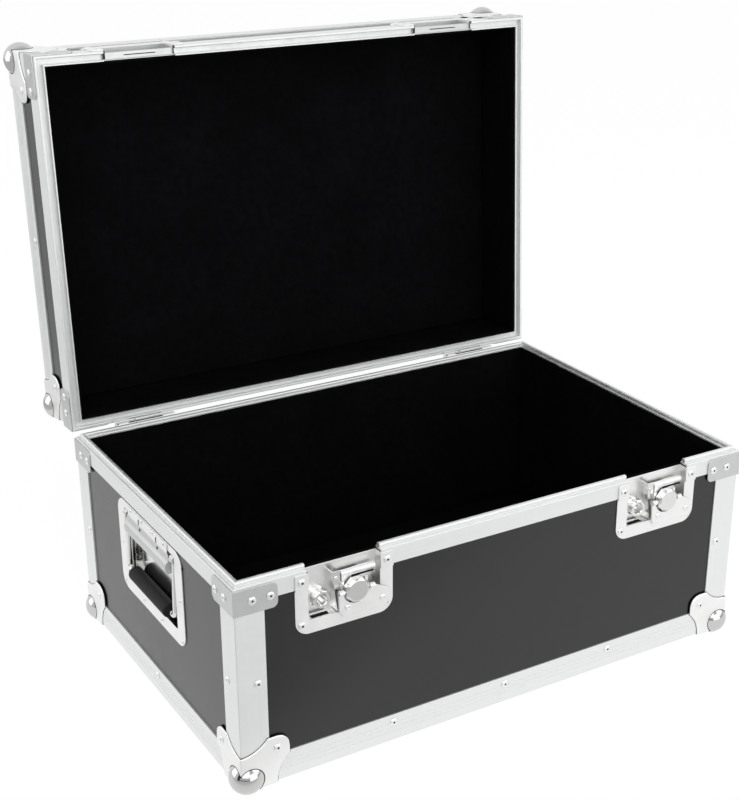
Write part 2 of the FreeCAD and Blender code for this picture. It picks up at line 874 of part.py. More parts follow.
def handle_grip():
    half = bail_half - bail_bend - grip_end_gap
    low = handle_pin_z - bail_arm_length
    grip = cross_bar(grip_radius, half, -handle_pin_depth, low)
    rims = [edge for edge in grip.Edges if edge.Closed]
    grip = grip.makeFillet(grip_round, rims)
    bore = cross_bar(bail_rod_radius, half, -handle_pin_depth, low)
    return tilted_bail(grip.cut(bore))


def make_handles():
    pieces = {
        "handle_dish": handle_dish(),
        "handle_pin": handle_pin(),
        "handle_strap": handle_strap(),
        "handle_bail": handle_bail(),
        "handle_grip": handle_grip(),
    }
    for hand in hand_signs:
        for name, piece in pieces.items():
            save(hand + "_" + name, on_side(piece.translated(z_axis * handle_z), hand))


# Rivets

def rivet(radius):
    """Set head of a blind rivet, on the face y = 0."""
    head = peg(radius, 0, rivet_height)
    crown = [edge for edge in head.Edges if edge.Closed and edge.CenterOfMass.y < -rivet_height / 2]
    head = head.makeFillet(rivet_round, crown)
    return head.cut(peg(rivet_eye_radius, rivet_height - rivet_eye_depth, rivet_height))


rivet_head = rivet(rivet_radius)
small_rivet_head = rivet(small_rivet_radius)


def heads(places, out, head=rivet_head):
    """Rivet heads at (across, height) places of a front-facing plate, seated at a distance out."""
    return [head.translated(on_plate(across, out, height)) for across, height in places]


def mirrored(places):
    return [(sign * across, height) for across, height in places for sign in (-1, 1)]


def corner_rivets(reach, brace_z, cap_z):
    """Rivets of the braces and ball corners on one side, whose half length is reach."""
    brace = [(reach - brace_rivet_near, brace_z), (reach - brace_rivet_far, brace_z)]
    lobe = cap_reach - cap_lobe_round
    return heads(mirrored(brace), brace_sheet) + heads(mirrored([(reach - lobe, cap_z)]), cap_sheet)


def edge_places(side, height):
    """Places along an edge angle: spread on the long sides, in the middle of the short ones."""
    shares = long_edge_rivet_shares if side_reaches[side] == half_depth else (0,)
    return [(case_width * share, height) for share in shares]


def flat_rivets():
    """Rivets of the edge angles and ball corners on the underside, laid out on a front-facing plane."""
    height = half_depth - edge_rivet_inset
    edge = [(case_width * share, sign * height) for share in long_edge_rivet_shares for sign in (-1, 1)]
    lobe = cap_reach - cap_lobe_round
    corners = mirrored([(half_width - lobe, sign * (half_depth - lobe)) for sign in (-1, 1)])
    return heads(edge, 0) + heads(corners, cap_sheet)


def latch_rivets():
    edge = latch_flange_width / 2 - latch_rivet_inset
    low = -latch_flange_drop + latch_low_rivet_rise
    arms = heads(mirrored([(edge, -latch_arm_rivet_drop)]), latch_sheet)
    return arms + heads(mirrored([(edge, low)]) + [(0, low)], 0)


def keeper_rivets():
    arm_edge = latch_flange_width / 2 - latch_rivet_inset
    edge = latch_flange_width / 2 - keeper_rivet_inset
    high = keeper_flange_rise - keeper_rivet_inset
    arms = heads(mirrored([(arm_edge, latch_arm_rivet_drop)]), latch_sheet)
    return arms + heads(mirrored([(edge, high)]), 0)


def handle_rivets():
    edge = handle_flange_width / 2 - handle_rivet_inset
    low = -handle_flange_height / 2 + handle_rivet_inset
    places = mirrored([(edge, 0), (edge, low), (handle_pocket_width / 2 * handle_low_rivet_share, low)])
    high = handle_flange_height / 2 - handle_top_margin / 2
    strap = [(handle_strap_length * share, high) for share in strap_rivet_shares]
    return heads(places, 0, small_rivet_head) + heads(strap, dish_sheet, small_rivet_head)


def hinge_rivets(up):
    places = mirrored([(hinge_rivet_spread, up * hinge_rivet_drop)])
    return heads(places, hinge_sheet)


def shifted(solids, across, height):
    return [solid.translated(FreeCAD.Vector(across, 0, height)) for solid in solids]


def make_rivets():
    base = []
    lid = []
    brace_middle = brace_rim_inset + brace_height / 2
    lobe = cap_reach - cap_lobe_round
    upright_z = edge_z + base_height * corner_rivet_share
    for side, reach in side_halves.items():
        low = corner_rivets(reach, parting_z - brace_middle, edge_z + lobe)
        low += heads(mirrored([(reach - edge_rivet_inset, upright_z)]), 0)
        low += heads(edge_places(side, edge_z + edge_rivet_inset), 0)
        high = corner_rivets(reach, lid_z + brace_middle, lid_top_z - lobe)
        high += heads(edge_places(side, lid_top_z - edge_rivet_inset), 0)
        if side == "front":
            for sign in hand_signs.values():
                low += shifted(latch_rivets(), sign * latch_x, parting_z)
                high += shifted(keeper_rivets(), sign * latch_x, lid_z)
        elif side == "back":
            for sign in hand_signs.values():
                low += shifted(hinge_rivets(-1), sign * hinge_x, hinge_z)
                high += shifted(hinge_rivets(1), sign * hinge_x, hinge_z)
        else:
            low += shifted(handle_rivets(), 0, handle_z)
        base += [on_side(solid, side) for solid in low]
        lid += [on_side(solid, side) for solid in high]
    base += [on_bottom(solid) for solid in flat_rivets()]
    lid += [on_top(solid) for solid in flat_rivets()]
    save("base_rivets", *base)
    save_lid("lid_rivets", *lid)


def main():
    os.makedirs("parts", exist_ok=True)
    make_base_boards()
    make_lid_boards()
    make_linings()
    make_rims()
    make_angles()
    make_corners()
    make_hinges()
    make_latches()
    make_handles()
    make_rivets()


main()
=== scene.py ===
import json
import math

import bmesh
import bpy
import numpy as np
from bpy.props import FloatProperty, FloatVectorProperty, PointerProperty
from mathutils import Matrix, Vector


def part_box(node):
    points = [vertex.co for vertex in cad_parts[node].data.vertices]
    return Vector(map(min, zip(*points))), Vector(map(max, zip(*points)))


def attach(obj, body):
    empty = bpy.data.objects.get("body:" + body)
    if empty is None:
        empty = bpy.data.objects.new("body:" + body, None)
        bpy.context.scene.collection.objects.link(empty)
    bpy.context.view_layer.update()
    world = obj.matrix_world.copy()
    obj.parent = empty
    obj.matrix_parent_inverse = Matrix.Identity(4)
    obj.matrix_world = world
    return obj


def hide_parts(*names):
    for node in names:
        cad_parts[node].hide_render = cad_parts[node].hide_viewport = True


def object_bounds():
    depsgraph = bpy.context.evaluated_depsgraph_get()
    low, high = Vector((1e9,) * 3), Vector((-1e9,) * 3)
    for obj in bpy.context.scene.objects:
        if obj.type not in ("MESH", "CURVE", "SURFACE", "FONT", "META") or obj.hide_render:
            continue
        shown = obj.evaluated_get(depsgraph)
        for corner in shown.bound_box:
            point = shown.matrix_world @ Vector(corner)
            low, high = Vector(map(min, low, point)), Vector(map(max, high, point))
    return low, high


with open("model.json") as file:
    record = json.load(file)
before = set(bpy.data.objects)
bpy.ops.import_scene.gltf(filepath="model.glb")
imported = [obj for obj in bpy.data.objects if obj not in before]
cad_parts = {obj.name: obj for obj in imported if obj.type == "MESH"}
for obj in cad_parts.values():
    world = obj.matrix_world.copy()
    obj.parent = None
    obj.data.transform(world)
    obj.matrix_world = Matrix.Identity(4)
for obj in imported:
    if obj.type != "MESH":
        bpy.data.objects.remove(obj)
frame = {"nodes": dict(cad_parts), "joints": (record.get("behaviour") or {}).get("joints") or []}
cad_low, cad_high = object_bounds()

bl_info = {
    "name": "Transport Case",
    "version": (1, 0, 0),
    "blender": (4, 5, 0),
    "location": "3D View > Sidebar > Case",
    "description": "Finishes, lining, corners, latches and handles of an open transport case",
    "category": "Object",
}

# Places read from the frame, in metres
MM = 0.001
HANDS = ("left", "right")
nodes = frame["nodes"]
joints = {joint["name"]: joint for joint in frame["joints"]}
hinge_point = Vector(joints["lid_hinge"]["pos_m"])
lid_swing = math.radians(joints["lid_hinge"]["range_deg"][1])
lid_opened = (
    Matrix.Translation(hinge_point)
    @ Matrix.Rotation(-lid_swing, 4, "X")
    @ Matrix.Translation(-hinge_point)
)
lid_closed = lid_opened.inverted()
case_low, case_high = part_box("base_corner_angles")
case_middle = Vector((0, 0, (case_low.z + case_high.z) / 2))

# Camera of the photograph, whose frame is 739 by 800 pixels
FRAME_WIDTH = 739
FRAME_HEIGHT = 800
FOCAL_PIXELS = 1494.0
CENTRE_PIXEL = (414.3, 436.6)
SENSOR = 36.0
EYE = Vector((-0.7748, -1.2693, 0.8735))
VIEW_RIGHT = Vector((0.85152, -0.52428, 0.00658))
VIEW_UP = Vector((0.20221, 0.33995, 0.91845))
VIEW_BACK = Vector((-0.48376, -0.78075, 0.39549))


# Values that a user can change

def length_value(name, description, default):
    return FloatProperty(name=name, description=description, default=default, unit="LENGTH", precision=5)


def colour_value(name, description, default):
    return FloatVectorProperty(name=name, description=description, default=default, subtype="COLOR", size=3)


class CaseSizes(bpy.types.PropertyGroup):
    felt_thickness: length_value("Felt Thickness", "Thickness of the felt lining", 2.5 * MM)
    felt_round: length_value("Felt Round", "Rounding of the felt's cut edges", 0.8 * MM)
    felt_waver: length_value("Felt Waver", "How far the felt's edges stray from straight", 0.35 * MM)
    rivet_eye: length_value("Rivet Eye", "Radius of the hollow left by a rivet's mandrel", 1.25 * MM)
    cap_soft: length_value(
        "Corner Softness", "Pitch of the even mesh that rounds the pressed ball corners", 0.85 * MM)
    edge_soft: length_value("Edge Softness", "Rounding of the edges of sheet-metal fittings", 0.35 * MM)
    floor_radius: length_value("Floor Radius", "Reach of the studio floor", 9.0)


class CaseColours(bpy.types.PropertyGroup):
    laminate: colour_value("Laminate", "Black facing of the boards", (0.006, 0.006, 0.0065))
    felt: colour_value("Felt", "Black lining", (0.0032, 0.0032, 0.0037))
    aluminium: colour_value("Aluminium", "Edges and rims", (0.80, 0.81, 0.81))
    plating: colour_value("Plating", "Bright plated balls, keys and handles", (0.74, 0.74, 0.735))
    satin: colour_value(
        "Satin Plating", "Flat plates of the corners, hinges, latches and handles", (0.87, 0.87, 0.865))
    # Real steel on the braces and spring housings; on the keepers' insides this darker colour is painted
    # shade
    steel: colour_value("Steel", "Rim braces, spring housings and the keepers' insides", (0.60, 0.61, 0.61))
    rubber: colour_value("Rubber", "Handle grips", (0.007, 0.007, 0.007))
    # Near-black of the rivet mandrels, and also painted shade: thin dark sheets that stand in for the shade
    # in slots, slits, holes, seams and the dark lines round plates
    openings: colour_value("Openings", "Dark slots, slits, gaps and rivet mandrels", (0.02, 0.02, 0.02))
    floor: colour_value("Floor", "Studio floor", (0.9, 0.9, 0.9))


def sizes():
    return bpy.context.scene.case_sizes


def colours():
    return bpy.context.scene.case_colours


# Shader helpers

def add_node(tree, kind, **values):
    """Add a shader node and set its inputs by name, spaces written as underscores."""
    made = tree.nodes.new(kind)
    for name, value in values.items():
        made.inputs[name.replace("_", " ")].default_value = value
    return made


def add_math(tree, operation, *sources):
    """Work out a value from sockets and plain numbers."""
    made = tree.nodes.new("ShaderNodeMath")
    made.operation = operation
    for entry, source in zip(made.inputs, sources):
        if isinstance(source, float):
            entry.default_value = source
        else:
            tree.links.new(source, entry)
    return made.outputs["Value"]


def clear_tree(owner):
    """Empty node tree of a material or a world."""
    owner.use_nodes = True
    owner.node_tree.nodes.clear()
    return owner.node_tree


def new_group(name, inputs, outputs):
    """Start a shader node group with (name, kind) sockets; give it with its two end nodes."""
    tree = bpy.data.node_groups.new(name, "ShaderNodeTree")
    for label, kind in inputs:
        tree.interface.new_socket(label, in_out="INPUT", socket_type=kind)
    for label, kind in outputs:
        tree.interface.new_socket(label, in_out="OUTPUT", socket_type=kind)
    return tree, tree.nodes.new("NodeGroupInput"), tree.nodes.new("NodeGroupOutput")


def grain_group():
    """Grain drawn out along one direction, as on brushed or extruded metal."""
    found = bpy.data.node_groups.get("drawn_grain")
    if found:
        return found
    inputs = [("Coordinates", "NodeSocketVector"), ("Stretch", "NodeSocketVector")]
    tree, start, end = new_group("drawn_grain", inputs, [("Grain", "NodeSocketFloat")])
    stretch = add_node(tree, "ShaderNodeVectorMath")
    stretch.operation = "MULTIPLY"
    noise = add_node(tree, "ShaderNodeTexNoise", Scale=1.0, Detail=4.0, Roughness=0.6)
    tree.links.new(start.outputs["Coordinates"], stretch.inputs[0])
    tree.links.new(start.outputs["Stretch"], stretch.inputs[1])
    tree.links.new(stretch.outputs["Vector"], noise.inputs["Vector"])
    tree.links.new(noise.outputs["Fac"], end.inputs["Grain"])
    return tree


MARK_FINENESS = 9.0
MARK_SPREAD = (0.14, 0.42)


def marks_group():
    """Soft blotches of handling with a few finer specks, from 0 to 1."""
    found = bpy.data.node_groups.get("handling_marks")
    if found:
        return found
    inputs = [("Coordinates", "NodeSocketVector"), ("Size", "NodeSocketFloat")]
    tree, start, end = new_group("handling_marks", inputs, [("Marks", "NodeSocketFloat")])
    broad = add_node(tree, "ShaderNodeTexNoise", Detail=3.0, Roughness=0.55)
    fine = add_node(tree, "ShaderNodeTexNoise", Detail=2.0, Roughness=0.5)
    for noise in (broad, fine):
        tree.links.new(start.outputs["Coordinates"], noise.inputs["Vector"])
    finer = add_math(tree, "MULTIPLY", start.outputs["Size"], MARK_FINENESS)
    tree.links.new(start.outputs["Size"], broad.inputs["Scale"])
    tree.links.new(finer, fine.inputs["Scale"])
    blend = add_math(tree, "MULTIPLY", broad.outputs["Fac"], fine.outputs["Fac"])
    tree.links.new(add_range(tree, blend, 0.0, 1.0, MARK_SPREAD), end.inputs["Marks"])
    return tree


def add_group(tree, group, place, **values):
    """Place a node group on the given coordinates and set its other inputs."""
    made = tree.nodes.new("ShaderNodeGroup")
    made.node_tree = group
    tree.links.new(place, made.inputs["Coordinates"])
    for name, value in values.items():
        made.inputs[name].default_value = value
    return made


def start_material(name):
    """Empty material with its shader and its object coordinates."""
    made = bpy.data.materials.new(name)
    tree = clear_tree(made)
    shader = tree.nodes.new("ShaderNodeBsdfPrincipled")
    output = tree.nodes.new("ShaderNodeOutputMaterial")
    tree.links.new(shader.outputs["BSDF"], output.inputs["Surface"])
    place = tree.nodes.new("ShaderNodeTexCoord").outputs["Object"]
    return made, tree, shader, place


def add_range(tree, source, low, high, span=(0.0, 1.0), easing="LINEAR"):
    """Take a value from one level to another over a span of it."""
    made = add_node(
        tree, "ShaderNodeMapRange", From_Min=span[0], From_Max=span[1], To_Min=low, To_Max=high)
    made.interpolation_type = easing
    tree.links.new(source, made.inputs["Value"])
    return made.outputs["Result"]


def add_mix(tree, kind, source, first, second):
    """Mix two colours or two vectors by a value."""
    made = tree.nodes.new("ShaderNodeMix")
    made.data_type = kind
    ends = [socket for socket in made.inputs if socket.type == kind][-2:]
    ends[0].default_value = first
    ends[1].default_value = second
    tree.links.new(source, made.inputs["Factor"])
    return [socket for socket in made.outputs if socket.type == kind][0]


def add_tint(tree, shader, source, colour, low, high):
    """Vary the base colour between two shades of a colour by a value."""
    tint = add_mix(tree, "RGBA", source, (*shade(colour, low), 1), (*shade(colour, high), 1))
    tree.links.new(tint, shader.inputs["Base Color"])


def add_bump(tree, shader, height, strength, distance):
    made = add_node(tree, "ShaderNodeBump", Strength=strength, Distance=distance)
    tree.links.new(height, made.inputs["Height"])
    tree.links.new(made.outputs["Normal"], shader.inputs["Normal"])


def shade(colour, factor):
    return [channel * factor for channel in colour]


# Finishes

def dark_finish(name, colour, marks_size, marks_tint, texture, roughness, gloss, bump):
    """Black laminate, felt or rubber: a fine texture with handling marks over it."""
    made, tree, shader, place = start_material(name)
    marks = add_group(tree, marks_group(), place, Size=marks_size).outputs["Marks"]
    scale, detail, fineness = texture
    noise = add_node(tree, "ShaderNodeTexNoise", Scale=scale, Detail=detail, Roughness=fineness)
    tree.links.new(place, noise.inputs["Vector"])
    add_tint(tree, shader, marks, colour, 1, marks_tint)
    low, high = roughness
    if high > low:
        tree.links.new(add_range(tree, marks, low, high), shader.inputs["Roughness"])
    else:
        shader.inputs["Roughness"].default_value = low
    shader.inputs["Specular IOR Level"].default_value = gloss
    add_bump(tree, shader, noise.outputs["Fac"], *bump)
    return made


METAL_MARKS = 22.0
GRAIN_TINT = (0.93, 1.04)
GRAIN_ROUGHNESS = 0.05
MARK_ROUGHNESS = (0.9, 1.15)
GRAIN_RISE = 0.1 * MM


def metal(name, colour, roughness, stretch, grain_depth, side_stretch=None):
    """Metal with a grain and handling marks. A side stretch serves the bars along the sides."""
    made, tree, shader, place = start_material(name)
    drawn = add_group(tree, grain_group(), place, Stretch=stretch)
    marks = add_group(tree, marks_group(), place, Size=METAL_MARKS).outputs["Marks"]
    if side_stretch:
        turn = add_mix(tree, "VECTOR", side_mask(tree, place), stretch, side_stretch)
        tree.links.new(turn, drawn.inputs["Stretch"])
    grain = drawn.outputs["Grain"]
    add_tint(tree, shader, grain, colour, *GRAIN_TINT)
    low, high = (roughness * share for share in MARK_ROUGHNESS)
    streaks = add_range(tree, grain, -GRAIN_ROUGHNESS, GRAIN_ROUGHNESS)
    blend = add_math(tree, "ADD", streaks, add_range(tree, marks, low, high))
    tree.links.new(blend, shader.inputs["Roughness"])
    shader.inputs["Metallic"].default_value = 1.0
    add_bump(tree, shader, grain, grain_depth, GRAIN_RISE)
    return made


def side_mask(tree, place):
    """1 on the bars along the left and right sides of a frame of angles, 0 on the others."""
    split = tree.nodes.new("ShaderNodeSeparateXYZ")
    tree.links.new(place, split.inputs["Vector"])
    reach = add_math(tree, "ABSOLUTE", split.outputs["X"])
    return add_math(tree, "GREATER_THAN", reach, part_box("base_edge_angles")[1].x - EDGE_WING)


EDGE_WING = 30 * MM
ALONG_X = (6.0, 700.0, 700.0)
ALONG_Y = (700.0, 6.0, 700.0)
ALONG_Z = (700.0, 700.0, 6.0)
PRESSED = (60.0, 60.0, 60.0)
NO_GRAIN = (0.0, 0.0, 0.0)

# Colour, size and tint of the marks, texture, roughness, gloss and bump of each dark finish
DARK_FINISHES = {
    "laminate_facing": ("laminate", 9.0, 1.35, (1400.0, 2.0, 0.5), (0.20, 0.27), 0.52, (0.06, 0.2 * MM)),
    "felt_pile": ("felt", 14.0, 1.5, (900.0, 5.0, 0.7), (1.0, 1.0), 0.0, (0.6, 0.5 * MM)),
    "moulded_rubber": ("rubber", 40.0, 1.5, (2200.0, 2.0, 0.5), (0.52, 0.64), 0.2, (0.25, 0.2 * MM)),
}

# Colour and its shade, roughness, grain and its depth, and the grain of the side bars where it differs.
# The edge angles have a fine speckle on the front and back bars and no grain on the side bars.
METALS = {
    "aluminium_along_x": ("aluminium", 1, 0.54, ALONG_X, 0.10),
    "aluminium_along_y": ("aluminium", 1, 0.54, ALONG_Y, 0.10),
    "aluminium_along_z": ("aluminium", 1, 0.54, ALONG_Z, 0.10),
    "aluminium_base_edges": ("aluminium", 1, 0.54, ALONG_Y, 0.10, NO_GRAIN),
    "aluminium_lid_edges": ("aluminium", 1, 0.54, ALONG_Z, 0.10, NO_GRAIN),
    "bright_plating": ("plating", 1, 0.14, PRESSED, 0.03),
    "satin_plating": ("satin", 1, 0.46, PRESSED, 0.04),
    "plated_steel": ("steel", 1, 0.42, PRESSED, 0.05),
    "ball_plating": ("plating", 0.80, 0.11, PRESSED, 0.02),
    "pan_plating": ("satin", 1, 0.30, PRESSED, 0.03),
    "rivet_metal": ("satin", 1, 0.36, PRESSED, 0.05),
    # The rivet mandrels, and painted shade in slots, slits, holes, seams and round plates
    "mandrel_steel": ("openings", 1, 0.6, PRESSED, 0.1),
}


def finish(name):
    """Material of that name, made on its first use."""
    found = bpy.data.materials.get(name)
    if found:
        return found
    if name in DARK_FINISHES:
        colour, *values = DARK_FINISHES[name]
        return dark_finish(name, getattr(colours(), colour), *values)
    colour, factor, *values = METALS[name]
    return metal(name, shade(getattr(colours(), colour), factor), *values)


def dress(node, name):
    """Give a frame node its finish."""
    node_mesh = nodes[node].data
    node_mesh.materials.clear()
    node_mesh.materials.append(finish(name))


# Mesh helpers

SHARP_ANGLE = math.radians(35)
NODE_MERGE = 1e-6
LATHE_MERGE = 1e-7


def link_object(name, data):
    """Object in the scene for a mesh, lamp or camera."""
    made = bpy.data.objects.new(name, data)
    bpy.context.scene.collection.objects.link(made)
    return made


def object_from(name, bm):
    """Object in the scene from a bmesh, which is freed."""
    mesh = bpy.data.meshes.new(name)
    bm.to_mesh(mesh)
    bm.free()
    return link_object(name, mesh)


def make_piece(name, bm, finishes, body, replaced=()):
    """Turn a bmesh in the frame's coordinates into a piece that rides on a body."""
    piece = object_from(name, bm)
    mesh = piece.data
    mesh.polygons.foreach_set("use_smooth", [True] * len(mesh.polygons))
    mesh.set_sharp_from_angle(angle=SHARP_ANGLE)
    for entry in finishes:
        mesh.materials.append(finish(entry))
    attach(piece, body)
    if replaced:
        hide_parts(*replaced)
    return piece


def closed_box(node):
    """Corners of a lid node with the lid closed."""
    places = [lid_closed @ vertex.co for vertex in nodes[node].data.vertices]
    low = Vector([min(place[axis] for place in places) for axis in range(3)])
    high = Vector([max(place[axis] for place in places) for axis in range(3)])
    return low, high


def merged_copy(node):
    """Copy of a frame node's mesh with its loose triangles joined."""
    bm = bmesh.new()
    bm.from_mesh(nodes[node].data)
    bmesh.ops.remove_doubles(bm, verts=bm.verts, dist=NODE_MERGE)
    return bm


def sharp_edges(bm, angle=SHARP_ANGLE):
    return [edge for edge in bm.edges if edge.calc_face_angle(0) > angle]


def round_edges(bm, edges, width, clamp=True):
    bmesh.ops.bevel(
        bm, geom=edges, offset=width, offset_type="OFFSET", segments=2, profile=0.5,
        affect="EDGES", material=-1, clamp_overlap=clamp)


def thicken(bm, face, shift):
    """Draw a face out into a closed solid."""
    grown = bmesh.ops.extrude_face_region(bm, geom=[face])["geom"]
    moved = [part for part in grown if isinstance(part, bmesh.types.BMVert)]
    bmesh.ops.translate(bm, vec=shift, verts=moved)
    bmesh.ops.recalc_face_normals(bm, faces=bm.faces)


def lathe(profile, steps):
    """Spin (radius, height) points round Z into a closed form; the ends lie on the axis."""
    bm = bmesh.new()
    points = [bm.verts.new((radius, 0, height)) for radius, height in profile]
    edges = [bm.edges.new(pair) for pair in zip(points, points[1:])]
    bmesh.ops.spin(
        bm, geom=points + edges, cent=(0, 0, 0), axis=(0, 0, 1), angle=math.tau,
        steps=steps, use_merge=True, use_duplicate=False)
    bmesh.ops.remove_doubles(bm, verts=bm.verts, dist=LATHE_MERGE)
    bmesh.ops.recalc_face_normals(bm, faces=bm.faces)
    return bm


def append_copy(target, source, matrix):
    """Add a moved copy of a bmesh to another one."""
    mesh = bpy.data.meshes.new("copy")
    source.to_mesh(mesh)
    mesh.transform(matrix)
    if matrix.is_negative:
        mesh.flip_normals()
    target.from_mesh(mesh)
    bpy.data.meshes.remove(mesh)


def move_into(target, source, matrix):
    """Add a moved bmesh to another one and free it."""
    append_copy(target, source, matrix)
    source.free()


def gather(parts):
    """One bmesh from (bmesh, place) pairs."""
    joined = bmesh.new()
    for bm, place in parts:
        move_into(joined, bm, Matrix.Translation(place))
    return joined


def flat_shaded(piece):
    """Keep flat faces flat beside their rounded edges."""
    weights = piece.modifiers.new("flat_faces", "WEIGHTED_NORMAL")
    weights.mode = "FACE_AREA"
    weights.weight = 100
    weights.keep_sharp = True
    return piece


def soften(node, finishes, body, width, second=None):
    """Copy of a frame node with its sharp edges rounded, in place of the node.

    Faces whose middle passes the test named second take the second finish.
    """
    bm = merged_copy(node)
    round_edges(bm, sharp_edges(bm), width, clamp=False)
    if second:
        for face in bm.faces:
            face.material_index = int(second(face.calc_center_median()))
    return flat_shaded(make_piece(node + "_soft", bm, finishes, body, [node]))


# Lining

FELT_PITCH = 12 * MM
FELT_CORNER = math.radians(45)
FELT_WAVES = ((0.37, 0.23, 0.0), (0.0, 0.71, 0.53))


def felt_sheet(low, high):
    """Felt cut to a box, with rounded edges that stray a little from straight."""
    waver = sizes().felt_waver
    bm = bmesh.new()
    bmesh.ops.create_cube(bm, size=1.0)
    span = high - low
    bmesh.ops.scale(bm, vec=span, verts=bm.verts)
    bmesh.ops.translate(bm, vec=(low + high) / 2, verts=bm.verts)
    for axis in range(3):
        cuts = int(span[axis] / FELT_PITCH)
        if cuts > 1:
            along = [
                edge for edge in bm.edges
                if abs((edge.verts[1].co - edge.verts[0].co)[axis]) > span[axis] / 2
            ]
            bmesh.ops.subdivide_edges(bm, edges=along, cuts=cuts, use_grid_fill=True)
    round_edges(bm, sharp_edges(bm, FELT_CORNER), sizes().felt_round)
    bm.normal_update()
    for vertex in bm.verts:
        place = vertex.co / MM
        phases = [sum(number * pace for number, pace in zip(place, wave)) for wave in FELT_WAVES]
        stray = sum(math.sin(phase) for phase in phases)
        vertex.co += vertex.normal * (stray * waver / 2 - waver)
    return bm


def islands(bm):
    """Lists of joined vertices."""
    left = set(bm.verts)
    found = []
    while left:
        first = left.pop()
        group = [first]
        waiting = [first]
        while waiting:
            vertex = waiting.pop()
            for edge in vertex.link_edges:
                other = edge.other_vert(vertex)
                if other in left:
                    left.remove(other)
                    group.append(other)
                    waiting.append(other)
        found.append(group)
    return found


def lining_sheets(low, high, thickness, open_above):
    """Boxes of a lining's five sheets.

    Front and back run the full width, and the flat one lies between the walls.
    """
    inner = Vector((thickness, thickness, 0))
    across = Vector((0, thickness, 0))
    flat_low, flat_high = low + inner, high - inner
    if open_above:
        flat_high.z = low.z + thickness
    else:
        flat_low.z = high.z - thickness
    return {
        "flat": (flat_low, flat_high),
        "front": (low, Vector((high.x, low.y + thickness, high.z))),
        "back": (Vector((low.x, high.y - thickness, low.z)), high),
        "left": (low + across, Vector((low.x + thickness, high.y - thickness, high.z))),
        "right": (Vector((high.x - thickness, low.y + thickness, low.z)), high - across),
    }


class OBJECT_OT_case_lining(bpy.types.Operator):
    """Line the base and the lid with black felt"""
    bl_idname = "object.case_lining"
    bl_label = "Felt Lining"

    def execute(self, context):
        for part, flat_wall in (("base", "bottom"), ("lid", "top")):
            node = part + "_lining"
            low, high = closed_box(node) if part == "lid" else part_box(node)
            sheets = lining_sheets(low, high, sizes().felt_thickness, part == "base")
            for wall, (sheet_low, sheet_high) in sheets.items():
                bm = felt_sheet(sheet_low, sheet_high)
                if part == "lid":
                    bmesh.ops.transform(bm, matrix=lid_opened, verts=bm.verts)
                name = part + "_felt_" + wall
                piece = make_piece(name, bm, ["felt_pile"], part, [node])
        return {"FINISHED"}


# Boards and aluminium

class OBJECT_OT_case_boards(bpy.types.Operator):
    """Face the boards with black laminate"""
    bl_idname = "object.case_boards"
    bl_label = "Laminated Boards"

    def execute(self, context):
        for node in nodes:
            if node.endswith("_board"):
                dress(node, "laminate_facing")
        return {"FINISHED"}


class OBJECT_OT_case_edges(bpy.types.Operator):
    """Finish the aluminium rims and angles, with the grain along the rims and corner angles"""
    bl_idname = "object.case_edges"
    bl_label = "Aluminium Edges"

    def execute(self, context):
        for part, side_grain, upright_grain in (("base", "y", "z"), ("lid", "z", "y")):
            for side in ("front", "back"):
                dress(part + "_" + side + "_rim", "aluminium_along_x")
            for side in HANDS:
                dress(part + "_" + side + "_rim", "aluminium_along_" + side_grain)
            dress(part + "_corner_angles", "aluminium_along_" + upright_grain)
            dress(part + "_edge_angles", "aluminium_" + part + "_edges")
        return {"FINISHED"}


# Rivets

def rivet_seats(node):
    """Seat, outward direction and radius of each rivet head of a node."""
    bm = merged_copy(node)
    seats = []
    for island in islands(bm):
        places = np.array([vertex.co for vertex in island], float)
        middle = (places.min(0) + places.max(0)) / 2
        spread = np.linalg.svd(places - places.mean(0), full_matrices=False)[2]
        axis = spread[2]
        along = (places - middle) @ axis
        radii = np.linalg.norm(places - middle - np.outer(along, axis), axis=1)
        if along[radii < radii.max() / 2].mean() < 0:
            axis, along = -axis, -along
        seats.append((Vector(middle + axis * along.min()), Vector(axis), radii.max()))
    bm.free()
    return seats


RIVET_RISE = 0.34
RIVET_DOME = ((0.97, 0), (1, 0.22), (0.95, 0.48), (0.80, 0.76), (0.60, 0.94))
RIVET_HOLLOW = ((1.25, 1), (1, 0.92), (0.9, 0.35), (0, 0.35))
RIVET_STEPS = 20
EYE_LIMIT = 0.42
STUB_SEAT = 0.36
STUB_FORM = ((0, 1), (0.86, 1), (0.8, 1.35), (0, 1.5))
STUB_STEPS = 12


def rivet_profile(radius, eye):
    """Section of a set blind rivet: a shallow dome round the hollow of its mandrel."""
    height = RIVET_RISE * radius
    dome = [(radius * across, height * up) for across, up in RIVET_DOME]
    return [(0, 0)] + dome + [(eye * across, height * up) for across, up in RIVET_HOLLOW]


class OBJECT_OT_case_rivets(bpy.types.Operator):
    """Set the rivet heads, each with the hollow of its mandrel"""
    bl_idname = "object.case_rivets"
    bl_label = "Rivets"

    def execute(self, context):
        for part in ("base", "lid"):
            node = part + "_rivets"
            heads = bmesh.new()
            stubs = bmesh.new()
            for seat, axis, radius in rivet_seats(node):
                eye = min(sizes().rivet_eye, radius * EYE_LIMIT)
                low = RIVET_RISE * radius * STUB_SEAT
                stub = [(eye * across, low * up) for across, up in STUB_FORM]
                place = Matrix.Translation(seat) @ axis.to_track_quat("Z", "Y").to_matrix().to_4x4()
                move_into(heads, lathe(rivet_profile(radius, eye), RIVET_STEPS), place)
                move_into(stubs, lathe(stub, STUB_STEPS), place)
            make_piece(part + "_rivet_heads", heads, ["rivet_metal"], part, [node])
            # The mandrel stubs are near-black: the real mandrel, darkened as painted shade of the hollow it
            # sits in
            make_piece(part + "_rivet_mandrels", stubs, ["mandrel_steel"], part)
        return {"FINISHED"}


# Corners and hinges

